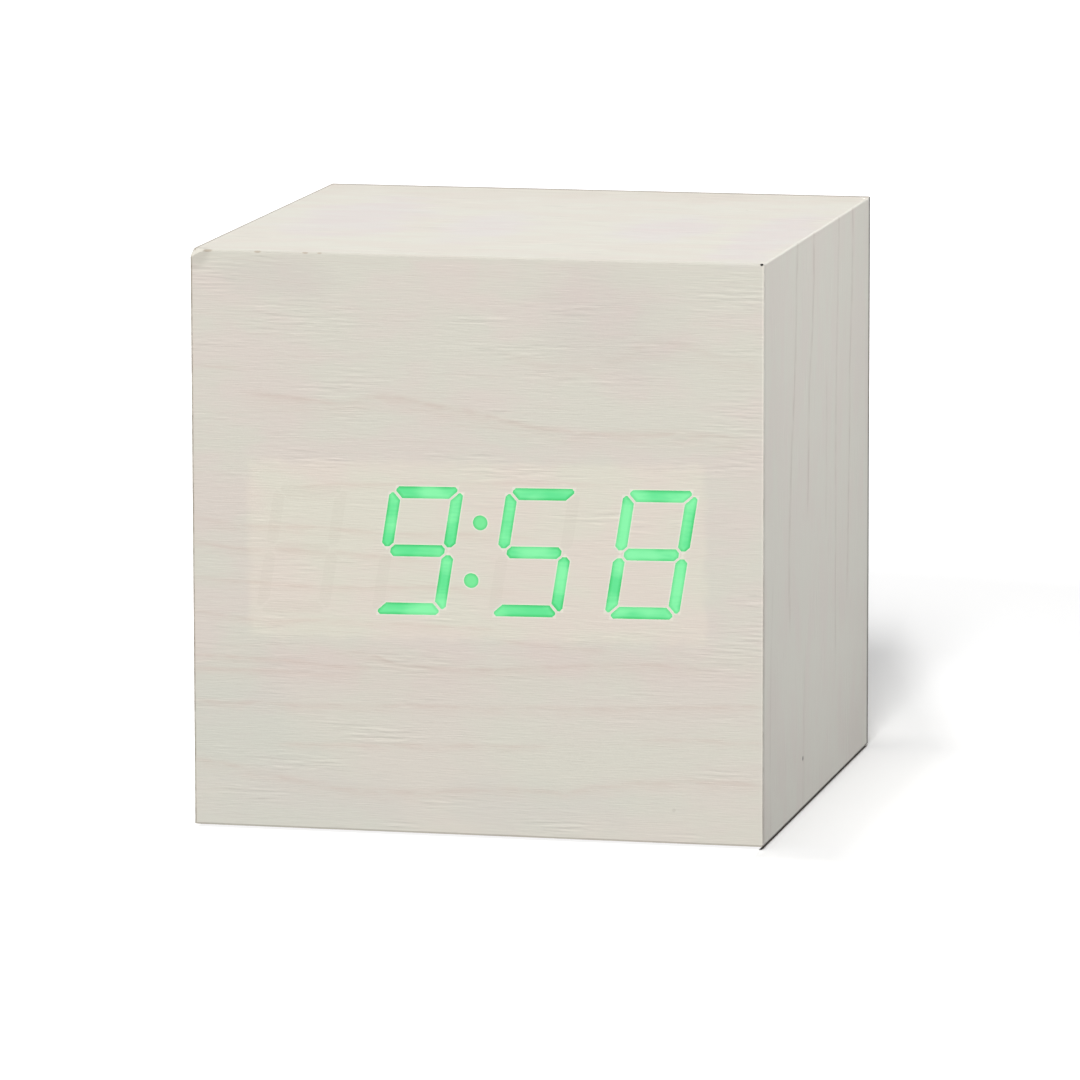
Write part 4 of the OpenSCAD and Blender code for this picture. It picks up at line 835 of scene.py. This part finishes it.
# %% Lacquer, resin and jackets
TRACK_PITCH = 1.27
net, shader, point = new_material("circuit_board")
x, _, z = net.split(point)
column, row = (net.math("DIVIDE", way, TRACK_PITCH) for way in (x, z))
run = net.math("FLOOR", net.times(row, 0.2))
spot = net.join(net.math("FLOOR", column), run, 0.0)
picked = net.node("TexWhiteNoise", {"Vector": spot}).outputs["Value"]
off_track = net.size(net.minus(net.math("FRACT", column), 0.5))
track = net.times(net.ramp(off_track, 0.26, 0.2), net.math("GREATER_THAN", picked, 0.45))
cloud = net.noise(point, 0.3)
colour = net.mix(net.ramp(cloud, 0.3, 0.7), paint(14, 62, 38), paint(20, 74, 46))
colour = net.mix(track, colour, paint(34, 104, 66))
coat(net, shader, colour, net.ramp(cloud, 0.3, 0.7, 0.26, 0.38), track, 0.5, 0.05)

net, shader, point = new_material("clear_resin", transmission_weight=0.85, ior=1.49)
haze = net.noise(point, 0.5, detail=3)
colour = net.mix(net.ramp(haze, 0.3, 0.7), paint(206, 238, 214), paint(226, 246, 230))
coat(net, shader, colour, net.ramp(haze, 0.3, 0.7, 0.12, 0.3))

CELL_PITCH, JACKET_LOW, JACKET_HIGH, BAND_LOW = 11.5, -19.6, 22.9, 14.0
net, shader, point = new_material("cell")
x, y, _ = net.split(point)
middle_cell = net.math("LESS_THAN", net.size(x), CELL_PITCH / 2)
along = net.times(y, net.scaled(middle_cell, -2.0, 1.0))
jacket = net.times(net.ramp(along, JACKET_LOW - 0.05, JACKET_LOW + 0.05),
                   net.ramp(along, JACKET_HIGH + 0.05, JACKET_HIGH - 0.05))
band = net.times(net.ramp(along, BAND_LOW, BAND_LOW + 0.1), jacket)
wear = net.group(drawn_metal, point)
colour = net.mix(wear["Tarnish"], paint(150, 151, 153), paint(180, 181, 183))
colour = net.mix(jacket, colour, net.mix(wear["Scratch"], paint(52, 74, 96), paint(64, 88, 112)))
colour = net.mix(band, colour, paint(206, 208, 204))
coat(net, shader, colour, net.scaled(wear["Scratch"], 0.1, 0.26))
net.feed(shader["Metallic"], net.minus(1.0, jacket))
print("finishes", len(finish))

# %% Dress the CAD nodes
bare = []
for row in frame["record"]["subparts"]:
    piece, slot = nodes[row["node"]], row["material_slot"]
    if slot in finish:
        piece.data.materials.clear()
        piece.data.materials.append(finish[slot])
    else:
        bare.append(row["node"])
print("still bare", bare)

# %% [markdown]
# ## Softened edges
# A moulded edge is never quite sharp, and the light that catches it shows the shape. The CAD meshes are
# loose triangles, so a Weld joins their points first, and then a Bevel rounds what is sharper than 40
# degrees.

# %% Round the moulded edges
SOFT = {
    "base_plate": 0.12, "battery_door": 0.15, "dc_jack": 0.15,
    "set_button": 0.1, "up_button": 0.1, "down_button": 0.1,
}
WELD_GAP, SHARP = 0.002 * MM, math.radians(40)
for name, width in SOFT.items():
    weld = nodes[name].modifiers.new("weld", "WELD")
    weld.merge_threshold = WELD_GAP
    soft = nodes[name].modifiers.new("soft_edge", "BEVEL")
    soft.width, soft.segments = width * MM, 2
    soft.limit_method, soft.angle_limit = "ANGLE", SHARP
print("softened", list(SOFT))

# %% [markdown]
# ## Pieces that repeat
# Screws, pads, springs, cells and ribbon wires are each one shape set down several times. Geometry Nodes
# build them: a tree makes the shape, sets it on a row or grid of points and joins the copies to one mesh.
# The helper below runs a tree, keeps its mesh without the modifier, and lets it stand for the CAD node.

# %% Helper for the trees
DOUBLES, CREASE = 0.0005 * MM, math.radians(35)
SEAM_GAP, AXIS_R = 0.001 * MM, 1e-7


def new_tree(name, *numbers, **others):
    """An empty geometry tree. Its inputs are plain numbers, others given with their kind, and the finish."""
    inputs = {**others, **dict.fromkeys(numbers, "Float"), "Finish": "Material"}
    return new_group(name, inputs, {"Geometry": "Geometry"}, "Geometry")


def shape(net, kind, inputs=None, **settings):
    """Adds a geometry node and returns what it makes."""
    return net.node(kind, inputs, family="GeometryNode", **settings).outputs[0]


def set_down(net, given, result, points, copy, turn=(0, 0, 0)):
    """Copies on points, joined to one mesh and given their finish."""
    copies = shape(net, "InstanceOnPoints", {"Points": points, "Instance": copy, "Rotation": turn})
    joined = shape(net, "RealizeInstances", {"Geometry": copies})
    done = shape(net, "SetMaterial", {"Geometry": joined, "Material": given["Finish"]})
    net.feed(result["Geometry"], done)


def grown(name, tree, values, slot, drawing=None):
    """Runs a tree on a drawing, and keeps the result as a plain piece in place of the CAD node."""
    seed = bpy.data.objects.new(name + "_seed", drawing or bpy.data.meshes.new(name + "_seed"))
    scene.collection.objects.link(seed)
    modifier = seed.modifiers.new("grow", "NODES")
    modifier.node_group = tree
    values = dict(values, Finish=finish[slot])
    for item in tree.interface.items_tree:
        if item.in_out == "INPUT" and item.name in values:
            modifier[item.identifier] = values[item.name]
    made = bpy.data.meshes.new_from_object(seed.evaluated_get(bpy.context.evaluated_depsgraph_get()))
    bpy.data.objects.remove(seed)
    work = bmesh.new()
    work.from_mesh(made)
    bmesh.ops.remove_doubles(work, verts=work.verts, dist=DOUBLES)
    bmesh.ops.recalc_face_normals(work, faces=work.faces)
    work.to_mesh(made)
    work.free()
    made.shade_smooth()
    made.set_sharp_from_angle(angle=CREASE)
    made.name = name + "_piece"
    piece = bpy.data.objects.new(name + "_piece", made)
    scene.collection.objects.link(piece)
    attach(piece, "case")
    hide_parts(name)
    ways = [[vertex.co[i] for vertex in made.vertices] for i in range(3)]
    box = Vector(map(min, ways)), Vector(map(max, ways))
    off = [round(max(abs(a[i] - b[i]) for i in range(3)) / MM, 3) for a, b in zip(box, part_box(name))]
    print(name, len(made.polygons), "faces, off the CAD box by", off, "mm")


def turned(net, profile, around):
    """A profile drawn in x and y, swept round a tiny ring on the Z axis; its y becomes the height."""
    path = shape(net, "CurvePrimitiveCircle", {"Resolution": around, "Radius": AXIS_R})
    line = shape(net, "MeshToCurve", {"Mesh": profile})
    skin = shape(net, "CurveToMesh", {"Curve": path, "Profile Curve": line})
    return shape(net, "MergeByDistance", {"Geometry": skin, "Distance": SEAM_GAP})


def profile_mesh(name, points):
    """A profile as a chain of edges, points being (radius, height) in millimetres."""
    mesh = bpy.data.meshes.new(name)
    edges = [(i, i + 1) for i in range(len(points) - 1)]
    mesh.from_pydata([(r * MM, -h * MM, 0) for r, h in points], edges, [])
    return mesh


def swept(net, path, ring):
    """A closed ring swept along a path, with its ends filled."""
    return shape(net, "CurveToMesh", {"Curve": path, "Profile Curve": ring, "Fill Caps": True})


def four_corners(net, wide, deep):
    """Four points at the corners of a rectangle."""
    sizes = {"Size X": wide, "Size Y": deep, "Vertices X": 2, "Vertices Y": 2}
    return shape(net, "MeshGrid", sizes)


print("helpers", [made.__name__ for made in (set_down, grown, turned, profile_mesh, swept, four_corners)])

# %% [markdown]
# ### Screws
# A base screw has a flat head with a rounded rim and a cross for the driver. The head and shank are turned
# from one profile, a Mesh Boolean sinks the cross, and a grid of two by two points sets the screws down.

# %% Base screws
net, given, result = new_tree(
    "screw_grid", "Spread X", "Spread Y", "Height", "Slot Length", "Slot Width", "Slot Depth",
    Geometry="Geometry", Around="Int",
)
screw = turned(net, given["Geometry"], given["Around"])
slot_h = net.times(given["Slot Depth"], 2.0)
cut = net.node("MeshBoolean", {"Mesh 1": screw}, "GeometryNode", operation="DIFFERENCE", solver="EXACT")
for wide, deep in (("Slot Length", "Slot Width"), ("Slot Width", "Slot Length")):
    bar = shape(net, "MeshCube", {"Size": net.join(given[wide], given[deep], slot_h)})
    net.feed(cut.inputs["Mesh 2"], bar)
grid = four_corners(net, given["Spread X"], given["Spread Y"])
lifted = shape(net, "Transform", {"Geometry": grid, "Translation": net.join(0.0, 0.0, given["Height"])})
set_down(net, given, result, lifted, cut.outputs["Mesh"])
HEAD_R, HEAD_H, SHANK_R, SHANK_H = 2.2, 1.5, 1.2, 9.3
screw_profile = profile_mesh("screw_profile", [
    (0, 0), (HEAD_R - 0.35, 0), (HEAD_R - 0.1, 0.1), (HEAD_R, 0.35), (HEAD_R, HEAD_H), (SHANK_R, HEAD_H),
    (SHANK_R, SHANK_H - 1.2), (0, SHANK_H),
])
grown("base_screws", net.tree, {
    "Around": 48, "Spread X": 51.5 * MM, "Spread Y": 26 * MM, "Height": 0.9 * MM,
    "Slot Length": 3 * MM, "Slot Width": 0.7 * MM, "Slot Depth": 0.8 * MM,
}, "steel", screw_profile)

# %% [markdown]
# ### Foot pads
# The pads are soft discs with a rounded edge. They are turned from a profile and set on a grid too.

# %% Foot pads
net, given, result = new_tree("pad_grid", "Spread", Geometry="Geometry", Around="Int")
pad = turned(net, given["Geometry"], given["Around"])
set_down(net, given, result, four_corners(net, given["Spread"], given["Spread"]), pad)
PAD_R, PAD_H = 2.8, 0.8
pad_profile = profile_mesh("pad_profile", [
    (0, 0), (PAD_R - 0.6, 0), (PAD_R - 0.3, 0.06), (PAD_R - 0.1, 0.2), (PAD_R, 0.45), (PAD_R, PAD_H),
    (0, PAD_H),
])
grown("foot_pads", net.tree, {"Around": 48, "Spread": 51.6 * MM}, "rubber", pad_profile)

# %% [markdown]
# ### Cells and springs
# Three cells lie side by side, every second one turned round. A row of points carries them, and the
# remainder of each point's number by two says which way it faces. A spring is a spiral with wire round it,
# and it presses on each cell's flat end, so the same rule puts it at the other end of the bay.

# %% Cells
CELL_Z, CELL_R, CELL_L, CELL_TIP = 8.05, 5.25, 44.5, 24.2


def facing_row(net, given, reach):
    """Three points, each moved along Y by the reach its own way, and the turn of what faces that way."""
    start = net.join(net.times(given["Pitch"], -1.0), 0.0, given["Height"])
    step = net.join(given["Pitch"], 0.0, 0.0)
    line = shape(net, "MeshLine", {"Count": 3, "Start Location": start, "Offset": step})
    way = net.scaled(net.math("MODULO", shape(net, "InputIndex"), 2.0), -2.0, 1.0)
    offset = net.join(0.0, net.times(way, reach), 0.0)
    points = shape(net, "SetPosition", {"Geometry": line, "Offset": offset})
    return points, net.join(net.times(way, -math.pi / 2), 0.0, 0.0)


net, given, result = new_tree("cell_row", "Pitch", "Height", "Tip", Geometry="Geometry", Around="Int")
cell = turned(net, given["Geometry"], given["Around"])
points, turn = facing_row(net, given, given["Tip"])
set_down(net, given, result, points, cell, turn)
cell_profile = profile_mesh("cell_profile", [
    (0, 0), (1.6, 0), (1.9, -0.15), (1.9, -1.0), (3.6, -1.05), (3.8, -1.25), (4.5, -1.25), (4.75, -1.0),
    (5.05, -1.05), (CELL_R, -1.3), (CELL_R, 0.6 - CELL_L), (CELL_R - 0.15, 0.35 - CELL_L),
    (CELL_R - 0.5, 0.3 - CELL_L), (CELL_R - 0.5, 0.1 - CELL_L), (CELL_R - 0.6, -CELL_L), (0, -CELL_L),
])
grown("battery_cells", net.tree, {
    "Around": 64, "Pitch": CELL_PITCH * MM, "Height": CELL_Z * MM, "Tip": CELL_TIP * MM,
}, "cell", cell_profile)

# %% Springs
net, given, result = new_tree(
    "spring_row", "Pitch", "Height", "Foot", "Turns", "Foot Radius", "Tip Radius", "Length", "Wire"
)
coil = shape(net, "CurveSpiral", {
    "Resolution": 32, "Rotations": given["Turns"], "Start Radius": given["Foot Radius"],
    "End Radius": given["Tip Radius"], "Height": given["Length"],
})
wire = shape(net, "CurvePrimitiveCircle", {"Resolution": 10, "Radius": net.times(given["Wire"], 0.5)})
spring = swept(net, coil, wire)
points, turn = facing_row(net, given, net.times(given["Foot"], -1.0))
set_down(net, given, result, points, spring, turn)
grown("battery_springs", net.tree, {
    "Pitch": CELL_PITCH * MM, "Height": CELL_Z * MM, "Foot": 23.9 * MM, "Turns": 3.0,
    "Foot Radius": 3.6 * MM, "Tip Radius": 2 * MM, "Length": 3.2 * MM, "Wire": 0.6 * MM,
}, "steel")

# %% [markdown]
# ### Ribbon cable
# Ten thin wires side by side join the two circuit boards. One wire is swept along a path and repeated
# across.

# %% Ribbon cable
net, given, result = new_tree("ribbon_wires", "Pitch", "Radius", Wires="Int", Start="Vector", End="Vector")
path = shape(net, "CurvePrimitiveLine", {"Start": given["Start"], "End": given["End"]})
path = shape(net, "ResampleCurve", {"Curve": path, "Count": 12})
ring = shape(net, "CurvePrimitiveCircle", {"Resolution": 12, "Radius": given["Radius"]})
wire = swept(net, path, ring)
reach = net.times(net.minus(given["Wires"], 1.0), net.times(given["Pitch"], -0.5))
row = shape(net, "MeshLine", {
    "Count": given["Wires"], "Start Location": net.join(reach, 0.0, 0.0),
    "Offset": net.join(given["Pitch"], 0.0, 0.0),
})
set_down(net, given, result, row, wire)
grown("ribbon_cable", net.tree, {
    "Wires": 10, "Pitch": 1.311 * MM, "Radius": 0.45 * MM,
    "Start": Vector((0, -18.0, 23.55)) * MM, "End": Vector((0, 10.4, 23.8)) * MM,
}, "ribbon")

# %% [markdown]
# ## Size
# The dressed clock keeps the size of the CAD model.
